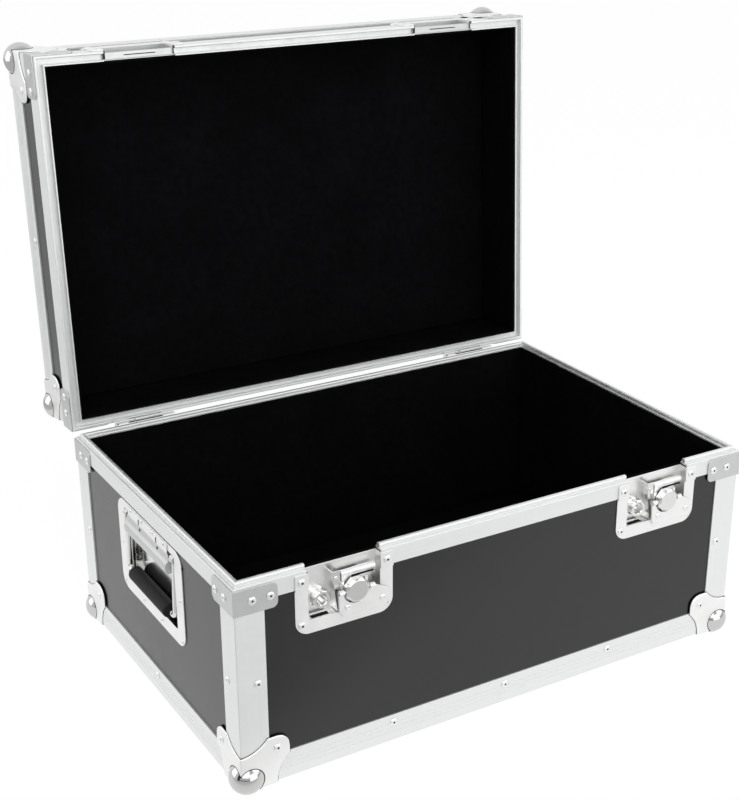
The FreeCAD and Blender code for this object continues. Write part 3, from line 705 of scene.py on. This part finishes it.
BALL_RADIUS = 17.5 * MM
BALL_INSET = 9.5 * MM
CAP_SHEET = 1.5 * MM
CAP_NOTCH = 37.5 * MM
CAP_REACH = 51.0 * MM
CAP_LOBE = 13.0 * MM
CAP_FLANK_SHARE = 0.55
CAP_BOW_SHARE = 0.60
CAP_ROOT = 3.0 * MM
BALL_SINK = 0.5 * MM
# Growth and thickness of a dark sheet behind the cap's plates, which shows round their edges as a painted
# shadow line
CAP_SHADOW_GROW = 0.5 * MM
CAP_SHADOW_SHEET = 0.3 * MM
CAP_BLOCK = 120.0 * MM
# Dark ring of painted shade in the seam round each ball
RING_WIRE = 0.4 * MM
RING_SIDES = 8
RING_STEPS = 40
NOTCH_STEPS = 8
LOBE_STEPS = 12
BALL_SIDES = (56, 36)
CAP_RELAX = 0.5
CAP_RELAX_ROUNDS = 6


def bend(share, start, middle, end):
    """Value along a bend from its start to its end, drawn towards a middle value."""
    return 2 * share * (1 - share) * middle + share * share * end + (1 - share) ** 2 * start


def lobe_outline(grow, edge):
    """Outline of one face of a corner cap, cut short under the ball, with its far lobe rounded."""
    flank = CAP_REACH * CAP_FLANK_SHARE
    middle = CAP_REACH - CAP_LOBE
    lobe_round = CAP_LOBE + grow
    near, far = CAP_NOTCH + grow, CAP_REACH + grow
    half = [(CAP_SHEET, -edge)]
    for step in range(NOTCH_STEPS + 1):
        share = step / NOTCH_STEPS
        half.append((bend(share, near, near, far), bend(share, -edge, flank * CAP_BOW_SHARE, flank)))
    lobe = []
    for step in range(LOBE_STEPS + 1):
        angle = math.pi / 2 * step / LOBE_STEPS
        lobe.append((middle + lobe_round * math.cos(angle), middle + lobe_round * math.sin(angle)))
    return half + lobe + [(up, across) for across, up in reversed(half)]


def add_ball(bm, radius):
    """Ball of a corner cap, for a case that fills the positive octant."""
    ball = bmesh.ops.create_uvsphere(
        bm, u_segments=BALL_SIDES[0], v_segments=BALL_SIDES[1], radius=radius)
    bmesh.ops.translate(bm, vec=[BALL_INSET] * 3, verts=ball["verts"])


def add_lobes(bm, grow, proud, root):
    """Three lobed plates round the corner at the origin, from proud of the case's faces to a root in them."""
    for axis in range(3):
        corners = []
        for across, up in lobe_outline(grow, proud):
            place = Vector((-proud, across, up))
            corners.append(bm.verts.new([place[(index - axis) % 3] for index in range(3)]))
        shift = Vector((0, 0, 0))
        shift[axis] = proud + root
        thicken(bm, bm.faces.new(corners), shift)


def add_rings(bm):
    """Dark line of painted shade in the seam round the foot of the ball on each face, from one edge of the
    case to the next.
    """
    rise = BALL_INSET + CAP_SHEET
    radius = math.sqrt(BALL_RADIUS ** 2 - rise ** 2) + RING_WIRE / 2
    end = math.acos(-rise / radius)
    start = Matrix.Rotation(math.pi / 2 - end, 3, "X")
    for axis in range(3):
        ring = bmesh.new()
        bmesh.ops.create_circle(ring, cap_ends=False, radius=RING_WIRE, segments=RING_SIDES)
        bmesh.ops.translate(ring, vec=(0, radius, 0), verts=ring.verts)
        bmesh.ops.rotate(ring, cent=(0, 0, 0), matrix=start, verts=ring.verts)
        bmesh.ops.spin(
            ring, geom=ring.verts[:] + ring.edges[:], cent=(0, 0, 0), axis=(1, 0, 0),
            angle=2 * end - math.pi / 2, steps=RING_STEPS, use_merge=False, use_duplicate=False)
        bmesh.ops.holes_fill(ring, edges=[edge for edge in ring.edges if edge.is_boundary], sides=0)
        bmesh.ops.recalc_face_normals(ring, faces=ring.faces)
        bmesh.ops.translate(ring, vec=(-CAP_SHEET, BALL_INSET, BALL_INSET), verts=ring.verts)
        turn = Matrix([[float(column == (row - axis) % 3) for column in range(3)] for row in range(3)])
        move_into(bm, ring, turn.to_4x4())


def discard(made):
    """Remove an object that served a step in between."""
    mesh = made.data
    bpy.data.objects.remove(made)
    bpy.data.meshes.remove(mesh)


def trimmed(name, bm, even):
    """Form with the case's corner cut out of it, after an even mesh has rounded its edges if asked."""
    rough = object_from(name, bm)
    block = bmesh.new()
    bmesh.ops.create_cube(block, size=CAP_BLOCK)
    bmesh.ops.translate(block, vec=[CAP_BLOCK / 2] * 3, verts=block.verts)
    inside = object_from(name + "_inside", block)
    if even:
        pitch = rough.modifiers.new("even", "REMESH")
        pitch.mode = "VOXEL"
        pitch.voxel_size = sizes().cap_soft
        relax = rough.modifiers.new("relax", "SMOOTH")
        relax.factor = CAP_RELAX
        relax.iterations = CAP_RELAX_ROUNDS
    cut = rough.modifiers.new("cut", "BOOLEAN")
    cut.operation = "DIFFERENCE"
    cut.solver = "EXACT"
    cut.object = inside
    ready = rough.evaluated_get(bpy.context.evaluated_depsgraph_get())
    made = bmesh.new()
    made.from_mesh(ready.to_mesh())
    ready.to_mesh_clear()
    discard(rough)
    discard(inside)
    return made


def pressed_cap():
    """One corner cap: a smooth pressing, the clean ball in it and dark lines of painted shade round both."""
    plates = bmesh.new()
    add_ball(plates, BALL_RADIUS - BALL_SINK)
    add_lobes(plates, 0, CAP_SHEET, CAP_ROOT)
    cap = trimmed("cap_plates", plates, True)
    ball = bmesh.new()
    add_ball(ball, BALL_RADIUS)
    # Dark sheet of painted shadow a little wider than the plates, and dark rings of painted shade in the seam
    # at the ball's foot
    edge_shadow = bmesh.new()
    add_lobes(edge_shadow, CAP_SHADOW_GROW, CAP_SHADOW_SHEET, 0)
    add_rings(edge_shadow)
    for index, part in enumerate((trimmed("cap_ball", ball, False), edge_shadow), 1):
        for face in part.faces:
            face.material_index = index
        move_into(cap, part, Matrix.Identity(4))
    return cap


class OBJECT_OT_case_corners(bpy.types.Operator):
    """Press the ball corners and finish the rim braces"""
    bl_idname = "object.case_corners"
    bl_label = "Corners and Braces"

    def execute(self, context):
        cap = pressed_cap()
        looks = ["satin_plating", "ball_plating", "mandrel_steel"]
        floor_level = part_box("base_edge_angles")[0].z
        top_level = closed_box("lid_edge_angles")[1].z
        for part, level, up in (("base", floor_level, 1), ("lid", top_level, -1)):
            caps = bmesh.new()
            for across in (-1, 1):
                for back in (-1, 1):
                    corner = Vector((case_high.x * across, case_high.y * back, level))
                    place = Matrix.Translation(corner) @ Matrix.Diagonal((-across, -back, up, 1))
                    append_copy(caps, cap, lid_opened @ place if part == "lid" else place)
            make_piece(part + "_corner_caps", caps, looks, part, [part + "_ball_corners"])
            soften(part + "_rim_braces", ["plated_steel"], part, sizes().edge_soft)
        cap.free()
        return {"FINISHED"}


HINGE_KNUCKLE = 3.8 * MM
# Turn, width and thickness of the dark sheets of painted shade in the hinges' slots, and their spans on each
# body
HINGE_MARK_TURN = math.radians(46)
HINGE_MARK_WIDTH = 1.3 * MM
HINGE_MARK_SHEET = 0.2 * MM
HINGE_MARKS = {
    "base": ((-34.0 * MM, -32.0 * MM), (-20.5 * MM, -12.0 * MM), (12.0 * MM, 20.0 * MM)),
    "lid": ((-11.4 * MM, 11.4 * MM),),
}


def rectangle(across, up):
    """Outline of a rectangle from its two spans."""
    (left, right), (low, high) = across, up
    return [(left, low), (right, low), (right, high), (left, high)]


def hinge_slot_shade(hand):
    """Dark sheets of painted shade in the slot along a hinge's knuckles and in the eye beside it."""
    low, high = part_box(hand + "_hinge_pin")
    place = Matrix.Translation(((low.x + high.x) / 2, hinge_point.y, hinge_point.z))
    place @= Matrix.Rotation(-HINGE_MARK_TURN, 4, "X")
    width = (-HINGE_MARK_WIDTH / 2, HINGE_MARK_WIDTH / 2)
    depth = (-HINGE_KNUCKLE - HINGE_MARK_SHEET, -HINGE_KNUCKLE + HINGE_MARK_SHEET)
    for body, spans in HINGE_MARKS.items():
        marks = bmesh.new()
        for span in spans:
            move_into(marks, plate_solid(rectangle(span, width), *depth), place)
        make_piece(hand + "_hinge_marks_" + body, marks, ["mandrel_steel"], body)


class OBJECT_OT_case_hinges(bpy.types.Operator):
    """Finish the hinges and put painted shade in the slots of their knuckles"""
    bl_idname = "object.case_hinges"
    bl_label = "Hinges"

    def execute(self, context):
        for hand in HANDS:
            for piece, body in (("base_leaf", "base"), ("lid_leaf", "lid"), ("pin", "base")):
                soften(hand + "_hinge_" + piece, ["satin_plating"], body, sizes().edge_soft)
            hinge_slot_shade(hand)
        return {"FINISHED"}


# Latches

PAN_START = 1.7 * MM
PAN_FLOOR = 9.3 * MM
PAN_BOTTOM = -53.0 * MM
LATCH_TOP_GAP = 3.0 * MM
EYE_PLACE = (-24.5 * MM, -35.0 * MM)
EYE_RADIUS = 9.5 * MM
EYE_HOLE = 5.4 * MM
EYE_HEIGHT = 10.6 * MM
EYE_STEP = EYE_HEIGHT / 10
EYE_WALL = ((0, 0), (0, 2), (0.9, 2.6), (0.9, 7.4), (0.2, 8), (0.2, 9.2), (1, 10))
EYE_BORE = ((0.6, 10), (0, 9.4), (0, 1.5))
EYE_SIDES = 40
SPRING_LEAN = ((-13.5 * MM, -10.0 * MM), (-8.0 * MM, -52.5 * MM))
SPRING_RIGHT = -4.7 * MM
SPRING_SHEET = 1.2 * MM
SPRING_HEAD = (-9.4 * MM, -17.0 * MM, 2.4 * MM)
PLATE_ROUND = SPRING_SHEET / 6
# Dark sheet of painted shade in the pan's lanced slot
SLOT_ACROSS = (-34.0 * MM, -16.0 * MM)
SLOT_DEPTH = (2.2 * MM, 7.4 * MM)
SLOT_SHEET = 0.35 * MM
ROLL_ACROSS = (8.0 * MM, 33.5 * MM)
ROLL_RADIUS = 3.2 * MM
ROLL_ROUND = 0.9 * MM
ROLL_EASE = ROLL_ROUND * 0.3
ROLL_SIDES = 24
# Dark strip of painted shadow under the rolled bar
SLIT_ACROSS = (7.0 * MM, 31.0 * MM)
SLIT_DROP = 2.0 * MM
WING_HEAD_RADIUS = 3.5 * MM
WING_HEAD_EYE = WING_HEAD_RADIUS * 0.36
WING_HOLES = (-9.25 * MM, 28.25 * MM)
WING_HOLE_DROP = 17.0 * MM
WING_FACE = 5.2 * MM
OUTWARD = Matrix.Rotation(math.pi / 2, 4, "X")
DOWNWARD = Matrix.Rotation(-math.pi / 2, 4, "X")
KEEPER_LIP = 4.5 * MM
# Dark sheets of painted shade: the slit in the keeper's lip and the slots at its two ends, each as across,
# depth and rise
KEEPER_SLIT = ((-16.0 * MM, 19.0 * MM), (5.4 * MM, 6.4 * MM), KEEPER_LIP)
KEEPER_FOOT = 2.9 * MM
KEEPER_GAPS = (
    ((-39.3 * MM, -36.9 * MM), (0.5 * MM, 8.7 * MM), KEEPER_FOOT),
    ((38.0 * MM, 39.2 * MM), (0.5 * MM, 8.7 * MM), KEEPER_FOOT),
)
KEEPER_MARK_SHEET = 0.15 * MM


def latch_origin(hand):
    """Middle of a latch on the case's front, at the height of the parting line."""
    low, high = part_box(hand + "_latch_dish")
    return Vector(((low.x + high.x) / 2, case_low.y, high.z + LATCH_TOP_GAP))


def plate_solid(outline, near, far):
    """Closed plate from an (across, up) outline between two depths behind the case's front."""
    bm = bmesh.new()
    face = bm.faces.new([bm.verts.new((across, near, up)) for across, up in outline])
    thicken(bm, face, (0, far - near, 0))
    round_edges(bm, bm.edges, PLATE_ROUND)
    return bm


def turned_out(profile, steps):
    """Turned form that stands on the origin and faces out of the case's front."""
    bm = lathe(profile, steps)
    bmesh.ops.transform(bm, matrix=OUTWARD, verts=bm.verts)
    return bm


def padlock_eye():
    """Collared barrel with a blind bore, standing on the floor of the pan."""
    wall = [(EYE_RADIUS - EYE_STEP * inset, EYE_STEP * rise) for inset, rise in EYE_WALL]
    bore = [(EYE_HOLE + EYE_STEP * flare, EYE_STEP * rise) for flare, rise in EYE_BORE]
    return turned_out([(0, 0)] + wall + bore + [(0, bore[-1][1])], EYE_SIDES)


def hook_roll():
    """Rolled bar that runs on past the right of the hook."""
    left, right = ROLL_ACROSS
    end = [
        (0, 0), (ROLL_RADIUS - ROLL_ROUND, 0),
        (ROLL_RADIUS - ROLL_EASE, ROLL_EASE), (ROLL_RADIUS, ROLL_ROUND),
    ]
    profile = [(radius, left + inset) for radius, inset in end]
    profile += [(radius, right - inset) for radius, inset in reversed(end)]
    bm = lathe(profile, ROLL_SIDES)
    bmesh.ops.transform(bm, matrix=Matrix.Rotation(math.pi / 2, 4, "Y"), verts=bm.verts)
    return bm


def latch_insides(hand):
    """Padlock eye, spring plate, rolled bar and wing rivets of one latch, with dark sheets of painted shade
    in the lanced slot and a painted shadow slit under the bar.
    """
    origin = latch_origin(hand)
    (top_x, top_z), (low_x, low_z) = SPRING_LEAN
    spring = plate_solid(
        [(top_x, top_z), (SPRING_RIGHT, top_z), (SPRING_RIGHT, low_z), (low_x, low_z)], 0, SPRING_SHEET)
    wall = plate_solid(
        [(top_x, top_z), (top_x + SPRING_SHEET, top_z), (low_x + SPRING_SHEET, low_z), (low_x, low_z)],
        SPRING_SHEET, PAN_FLOOR)
    head_x, head_z, head_radius = SPRING_HEAD
    head = turned_out(rivet_profile(head_radius, head_radius / 3), RIVET_STEPS)
    fittings = gather([
        (padlock_eye(), origin + Vector((EYE_PLACE[0], PAN_FLOOR, EYE_PLACE[1]))),
        (spring, origin),
        (wall, origin),
        (head, origin + Vector((head_x, 0, head_z))),
    ])
    flat_shaded(make_piece(hand + "_latch_fittings", fittings, ["bright_plating"], "base"))
    slot = plate_solid(rectangle(SLOT_ACROSS, (PAN_BOTTOM, PAN_BOTTOM + SLOT_SHEET)), *SLOT_DEPTH)
    hook_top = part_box(hand + "_latch_hook")[1].z
    bar = Vector((origin.x, case_low.y + ROLL_RADIUS - SLOT_SHEET, hook_top - ROLL_RADIUS + SLOT_SHEET))
    # The slit is a painted shadow under the rolled bar
    slit = plate_solid(rectangle(SLIT_ACROSS, (-SLIT_DROP, 0)), -SLOT_SHEET, SLOT_SHEET)
    under = Vector((origin.x, case_low.y, bar.z - ROLL_RADIUS + SLOT_SHEET))
    shaft = Vector(joints[hand + "_key_turn"]["pos_m"])
    heads = []
    for across in WING_HOLES:
        head = turned_out(rivet_profile(WING_HEAD_RADIUS, WING_HEAD_EYE), RIVET_STEPS)
        heads.append((head, shaft + Vector((across, -WING_FACE, -WING_HOLE_DROP))))
    for name, parts, look, body in (
        ("_latch_slot", [(slot, origin)], "mandrel_steel", "base"),
        ("_latch_roll", [(hook_roll(), bar)], "satin_plating", hand + "_hook"),
        ("_latch_slit", [(slit, under)], "mandrel_steel", hand + "_hook"),
        ("_wing_heads", heads, "rivet_metal", hand + "_wing"),
    ):
        make_piece(hand + name, gather(parts), [look], body)


def keeper_painted_shade(hand):
    """Dark sheets of painted shade beside a keeper and in the slit in its lip, on the side that the open lid
    shows.
    """
    middle = latch_origin(hand).x
    level = closed_box("lid_front_rim")[0].z
    marks = bmesh.new()
    for across, depth, rise in (KEEPER_SLIT, *KEEPER_GAPS):
        mark = plate_solid(rectangle(across, depth), -KEEPER_MARK_SHEET, KEEPER_MARK_SHEET)
        place = Matrix.Translation((middle, case_low.y, level + rise))
        move_into(marks, mark, lid_opened @ place @ DOWNWARD)
    make_piece(hand + "_keeper_marks", marks, ["mandrel_steel"], "lid")


class OBJECT_OT_case_latches(bpy.types.Operator):
    """Finish the latches and add their small fittings"""
    bl_idname = "object.case_latches"
    bl_label = "Latches"

    def execute(self, context):
        for hand in HANDS:
            width = sizes().edge_soft
            soften(hand + "_latch_dish", ["satin_plating", "pan_plating"], "base", width,
                   lambda place: place.y > case_low.y + PAN_START)
            soften(hand + "_latch_guide", ["pan_plating"], "base", width)
            looks = {"hook": "satin_plating", "key": "bright_plating", "wing": "satin_plating"}
            for piece, look in looks.items():
                soften(hand + "_latch_" + piece, [look], hand + "_" + piece, width)
            # Faces of the keeper set back in the pocket take the darker steel, as painted shade of the recess
            soften(hand + "_latch_keeper", ["satin_plating", "plated_steel"], "lid", width,
                   lambda place: (lid_closed @ place).y > case_low.y + PAN_START)
            latch_insides(hand)
            keeper_painted_shade(hand)
        return {"FINISHED"}


# Handles

HOOD_HALF = 53.5 * MM
HOOD_TOP = 194.0 * MM
HOOD_LOW = 173.0 * MM
HOOD_FLAT = 187.0 * MM
HOOD_PROUD = 0.4 * MM
HOOD_BULGE = 3.6 * MM
HOOD_DEPTH = 8.0 * MM
HOOD_ROUND = 0.8 * MM
HOOD_STEPS = 9
# Dark sheets of painted shade in the strap's curved slots and holes
SLOT_PLACES = (-22.5 * MM, 22.5 * MM)
SLOT_HEIGHT = 197.5 * MM
SLOT_RADIUS = 5.0 * MM
SLOT_WIDTH = 1.3 * MM
SLOT_SWEEP = math.radians(42)
SLOT_STEPS = 8
HOLE_SHIFT = 4.6 * MM
HOLE_HEIGHT = 190.5 * MM
HOLE_RADIUS = 1.5 * MM
HOLE_SIDES = 16


def slot_outline(place):
    """Outline of an arc-shaped slot in a strap that bulges towards the left."""
    outline = []
    for reach, order in ((SLOT_RADIUS, 1), (SLOT_RADIUS - SLOT_WIDTH, -1)):
        for step in range(SLOT_STEPS + 1):
            angle = SLOT_SWEEP * (step * 2 / SLOT_STEPS - 1) * order
            across = place + SLOT_RADIUS - reach * math.cos(angle)
            outline.append((across, SLOT_HEIGHT + reach * math.sin(angle)))
    return outline


def spring_hood(face):
    """Housing of a handle's spring below its strap, running along X and facing -Y."""
    front = face - HOOD_PROUD
    back = face + HOOD_DEPTH
    section = [(back, HOOD_TOP), (front, HOOD_TOP), (front, HOOD_FLAT)]
    for step in range(1, HOOD_STEPS):
        angle = math.pi * step / HOOD_STEPS
        height = HOOD_FLAT - (HOOD_FLAT - HOOD_LOW) * (1 - math.cos(angle)) / 2
        section.append((front - HOOD_BULGE * math.sin(angle), height))
    section += [(front, HOOD_LOW), (back, HOOD_LOW)]
    bm = bmesh.new()
    end = bm.faces.new([bm.verts.new((-HOOD_HALF, depth, height)) for depth, height in section])
    thicken(bm, end, (HOOD_HALF * 2, 0, 0))
    round_edges(bm, sharp_edges(bm), HOOD_ROUND)
    return bm


def handle_details(hand, turn):
    """Spring housing of a handle, and dark sheets of painted shade in the slots and holes of its strap."""
    low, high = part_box(hand + "_handle_strap")
    face = -max(abs(low.x), abs(high.x))
    hood = spring_hood(face)
    bmesh.ops.transform(hood, matrix=turn, verts=hood.verts)
    flat_shaded(make_piece(hand + "_handle_hood", hood, ["plated_steel"], "base"))
    hole = [(0, -SLOT_SHEET), (HOLE_RADIUS, -SLOT_SHEET), (HOLE_RADIUS, SLOT_SHEET), (0, SLOT_SHEET)]
    marks = bmesh.new()
    for place in SLOT_PLACES:
        slot = plate_solid(slot_outline(place), face - SLOT_SHEET, face + SLOT_SHEET)
        move_into(marks, slot, turn)
        seat = Matrix.Translation((place + HOLE_SHIFT, face - HOOD_PROUD, HOLE_HEIGHT)) @ OUTWARD
        move_into(marks, lathe(hole, HOLE_SIDES), turn @ seat)
    make_piece(hand + "_handle_slots", marks, ["mandrel_steel"], "base")


class OBJECT_OT_case_handles(bpy.types.Operator):
    """Finish the handles and add their spring housings"""
    bl_idname = "object.case_handles"
    bl_label = "Handles"

    def execute(self, context):
        for hand in HANDS:
            width = sizes().edge_soft
            soften(hand + "_handle_dish", ["satin_plating", "bright_plating"], "base", width,
                   lambda place: abs(place.x) < case_high.x - PAN_START)
            soften(hand + "_handle_strap", ["satin_plating"], "base", width)
            soften(hand + "_handle_bail", ["bright_plating"], hand + "_bail", width)
            dress(hand + "_handle_pin", "bright_plating")
            dress(hand + "_handle_grip", "moulded_rubber")
            handle_details(hand, Matrix.Rotation(math.pi / 2 * (1 if hand == "right" else -1), 4, "Z"))
        return {"FINISHED"}


# Stage

def seen_rays(tree):
    """1 for rays that show the background: from the camera, a reflection or a see-through surface."""
    rays = tree.nodes.new("ShaderNodeLightPath").outputs
    shown = add_math(tree, "MAXIMUM", rays["Is Camera Ray"], rays["Is Glossy Ray"])
    return add_math(tree, "MAXIMUM", shown, rays["Is Transmission Ray"])


def mix_shaders(tree, share, first, second, output_kind):
    """Mix two shaders by a share and put them out."""
    mix = tree.nodes.new("ShaderNodeMixShader")
    output = tree.nodes.new(output_kind)
    tree.links.new(share, mix.inputs["Fac"])
    tree.links.new(first, mix.inputs[1])
    tree.links.new(second, mix.inputs[2])
    tree.links.new(mix.outputs["Shader"], output.inputs["Surface"])


WHITE = (1, 1, 1, 1)
AMBIENT = 0.55
BACKDROP_SHARE = 0.90
PAPER_GLOW = 1.04
# Edges past which the floor's glow fades to painted shade, a darker floor for the front panels to reflect: a
# point, the way out of it, and where its fade starts and ends
SHADE_BAND_EDGES = (
    (Vector((-0.293, -0.202, 0)), Vector((-0.516, -0.857, 0)), (-0.012, 0.10)),
    (Vector((-0.470, 0, 0)), Vector((-0.955, 0.298, 0)), (0.17, 0.45)),
)
# Glow of the floor past those edges, dimmed as painted shade
FLOOR_PAINTED_SHADE = 0.64
ROOM_FADE = (-0.25, 0.45)
ROOM_DIM = 0.66


def make_world():
    """Soft light all round, with a pale room for the rays that see it."""
    world = bpy.data.worlds.new("studio")
    bpy.context.scene.world = world
    tree = clear_tree(world)
    light = add_node(tree, "ShaderNodeBackground", Color=WHITE, Strength=AMBIENT)
    room = add_node(tree, "ShaderNodeBackground", Color=WHITE)
    way = tree.nodes.new("ShaderNodeSeparateXYZ")
    tree.links.new(tree.nodes.new("ShaderNodeTexCoord").outputs["Generated"], way.inputs["Vector"])
    level = add_range(tree, way.outputs["Y"], ROOM_DIM, 1.0, ROOM_FADE, "SMOOTHSTEP")
    tree.links.new(level, room.inputs["Strength"])
    mix_shaders(tree, seen_rays(tree), light.outputs["Background"], room.outputs["Background"],
                "ShaderNodeOutputWorld")


def floor_material():
    """White floor that keeps the shadow, its glow easing past two edges to a pale grey of painted shade."""
    made = bpy.data.materials.new("studio_floor")
    tree = clear_tree(made)
    paper = add_node(tree, "ShaderNodeBsdfDiffuse", Color=(*colours().floor, 1))
    glow = add_node(tree, "ShaderNodeEmission", Color=WHITE)
    place = tree.nodes.new("ShaderNodeTexCoord").outputs["Object"]
    levels = []
    for end, out, (near, far) in SHADE_BAND_EDGES:
        reach = tree.nodes.new("ShaderNodeVectorMath")
        reach.operation = "DOT_PRODUCT"
        reach.inputs[1].default_value = out
        tree.links.new(place, reach.inputs[0])
        start = end.dot(out)
        span = (start + near, start + far)
        reached = reach.outputs["Value"]
        levels.append(add_range(tree, reached, PAPER_GLOW, FLOOR_PAINTED_SHADE, span, "SMOOTHSTEP"))
    tree.links.new(add_math(tree, "MINIMUM", *levels), glow.inputs["Strength"])
    share = add_math(tree, "MULTIPLY", seen_rays(tree), BACKDROP_SHARE)
    mix_shaders(tree, share, paper.outputs["BSDF"], glow.outputs["Emission"], "ShaderNodeOutputMaterial")
    return made


def make_floor():
    bm = bmesh.new()
    bmesh.ops.create_circle(bm, cap_ends=True, radius=sizes().floor_radius, segments=64)
    bmesh.ops.translate(bm, vec=(0, 0, cad_low.z), verts=bm.verts)
    floor = object_from("studio_floor", bm)
    floor.data.materials.append(floor_material())


# Name, place, size and power of each lamp
LAMPS = (
    ("key_lamp", (-1.6, -2.4, 2.6), 3.0, 45.0),
    ("fill_lamp", (2.4, -1.6, 1.9), 2.4, 20.0),
    ("side_lamp", (-2.6, 1.4, 1.1), 2.0, 14.0),
    ("low_lamp", (0.45, -1.9, 0.45), 1.7, 11.0),
)


# Name, place, width and height of each black card
FLAGS = (
    ("side_flag", Vector((-1.5, -0.5, 0.35)), 0.35, 0.9),
    ("low_flag", Vector((-1.9, -2.1, 0.2)), 3.4, 0.2),
)
FLAG_BLACK = (0.01, 0.01, 0.01, 1)


def make_flags():
    """Black cards that only reflections show, for crisp lines in the bright metal."""
    black = bpy.data.materials.new("flag_black")
    black.use_nodes = True
    black.node_tree.nodes["Principled BSDF"].inputs["Base Color"].default_value = FLAG_BLACK
    for name, place, width, height in FLAGS:
        bm = bmesh.new()
        bmesh.ops.create_grid(bm, x_segments=1, y_segments=1, size=0.5)
        bmesh.ops.scale(bm, vec=(width, height, 1), verts=bm.verts)
        turn = (case_middle - place).to_track_quat("Z", "Y").to_matrix().to_4x4()
        bmesh.ops.transform(bm, matrix=Matrix.Translation(place) @ turn, verts=bm.verts)
        card = object_from(name, bm)
        card.data.materials.append(black)
        card.visible_camera = False
        card.visible_diffuse = False
        card.visible_shadow = False


def make_lamps():
    for name, place, size, power in LAMPS:
        lamp = bpy.data.lights.new(name, "AREA")
        lamp.size = size
        lamp.energy = power
        holder = link_object(name, lamp)
        holder.location = place
        holder.rotation_euler = (case_middle - Vector(place)).to_track_quat("-Z", "Y").to_euler()
        holder.visible_camera = False


def make_camera():
    lens = bpy.data.cameras.new("photo_camera")
    longer = max(FRAME_WIDTH, FRAME_HEIGHT)
    lens.sensor_width = SENSOR
    lens.lens = FOCAL_PIXELS * SENSOR / longer
    lens.shift_x = (FRAME_WIDTH / 2 - CENTRE_PIXEL[0]) / longer
    lens.shift_y = (CENTRE_PIXEL[1] - FRAME_HEIGHT / 2) / longer
    camera = link_object("photo_camera", lens)
    turn = Matrix((VIEW_RIGHT, VIEW_UP, VIEW_BACK)).transposed().to_4x4()
    camera.matrix_world = Matrix.Translation(EYE) @ turn
    bpy.context.scene.camera = camera


class OBJECT_OT_case_stage(bpy.types.Operator):
    """Set up the floor, the light and the camera"""
    bl_idname = "object.case_stage"
    bl_label = "Studio Stage"

    def execute(self, context):
        context.scene.view_settings.view_transform = "Standard"
        make_world()
        make_floor()
        make_lamps()
        make_flags()
        make_camera()
        return {"FINISHED"}


STEPS = (
    OBJECT_OT_case_boards,
    OBJECT_OT_case_edges,
    OBJECT_OT_case_lining,
    OBJECT_OT_case_rivets,
    OBJECT_OT_case_corners,
    OBJECT_OT_case_hinges,
    OBJECT_OT_case_latches,
    OBJECT_OT_case_handles,
    OBJECT_OT_case_stage,
)


class VIEW3D_PT_case(bpy.types.Panel):
    """Steps that dress the transport case"""
    bl_label = "Transport Case"
    bl_space_type = "VIEW_3D"
    bl_region_type = "UI"
    bl_category = "Case"

    def draw(self, context):
        for step in STEPS:
            self.layout.operator(step.bl_idname)


CLASSES = (CaseSizes, CaseColours, *STEPS, VIEW3D_PT_case)


def register():
    for entry in CLASSES:
        bpy.utils.register_class(entry)
    bpy.types.Scene.case_sizes = PointerProperty(type=CaseSizes)
    bpy.types.Scene.case_colours = PointerProperty(type=CaseColours)


def unregister():
    del bpy.types.Scene.case_colours
    del bpy.types.Scene.case_sizes
    for entry in reversed(CLASSES):
        bpy.utils.unregister_class(entry)


def main():
    register()
    bpy.ops.object.case_boards()
    bpy.ops.object.case_edges()
    bpy.ops.object.case_lining()
    bpy.ops.object.case_rivets()
    bpy.ops.object.case_corners()
    bpy.ops.object.case_hinges()
    bpy.ops.object.case_latches()
    bpy.ops.object.case_handles()
    bpy.ops.object.case_stage()


if __name__ == "__main__":
    main()
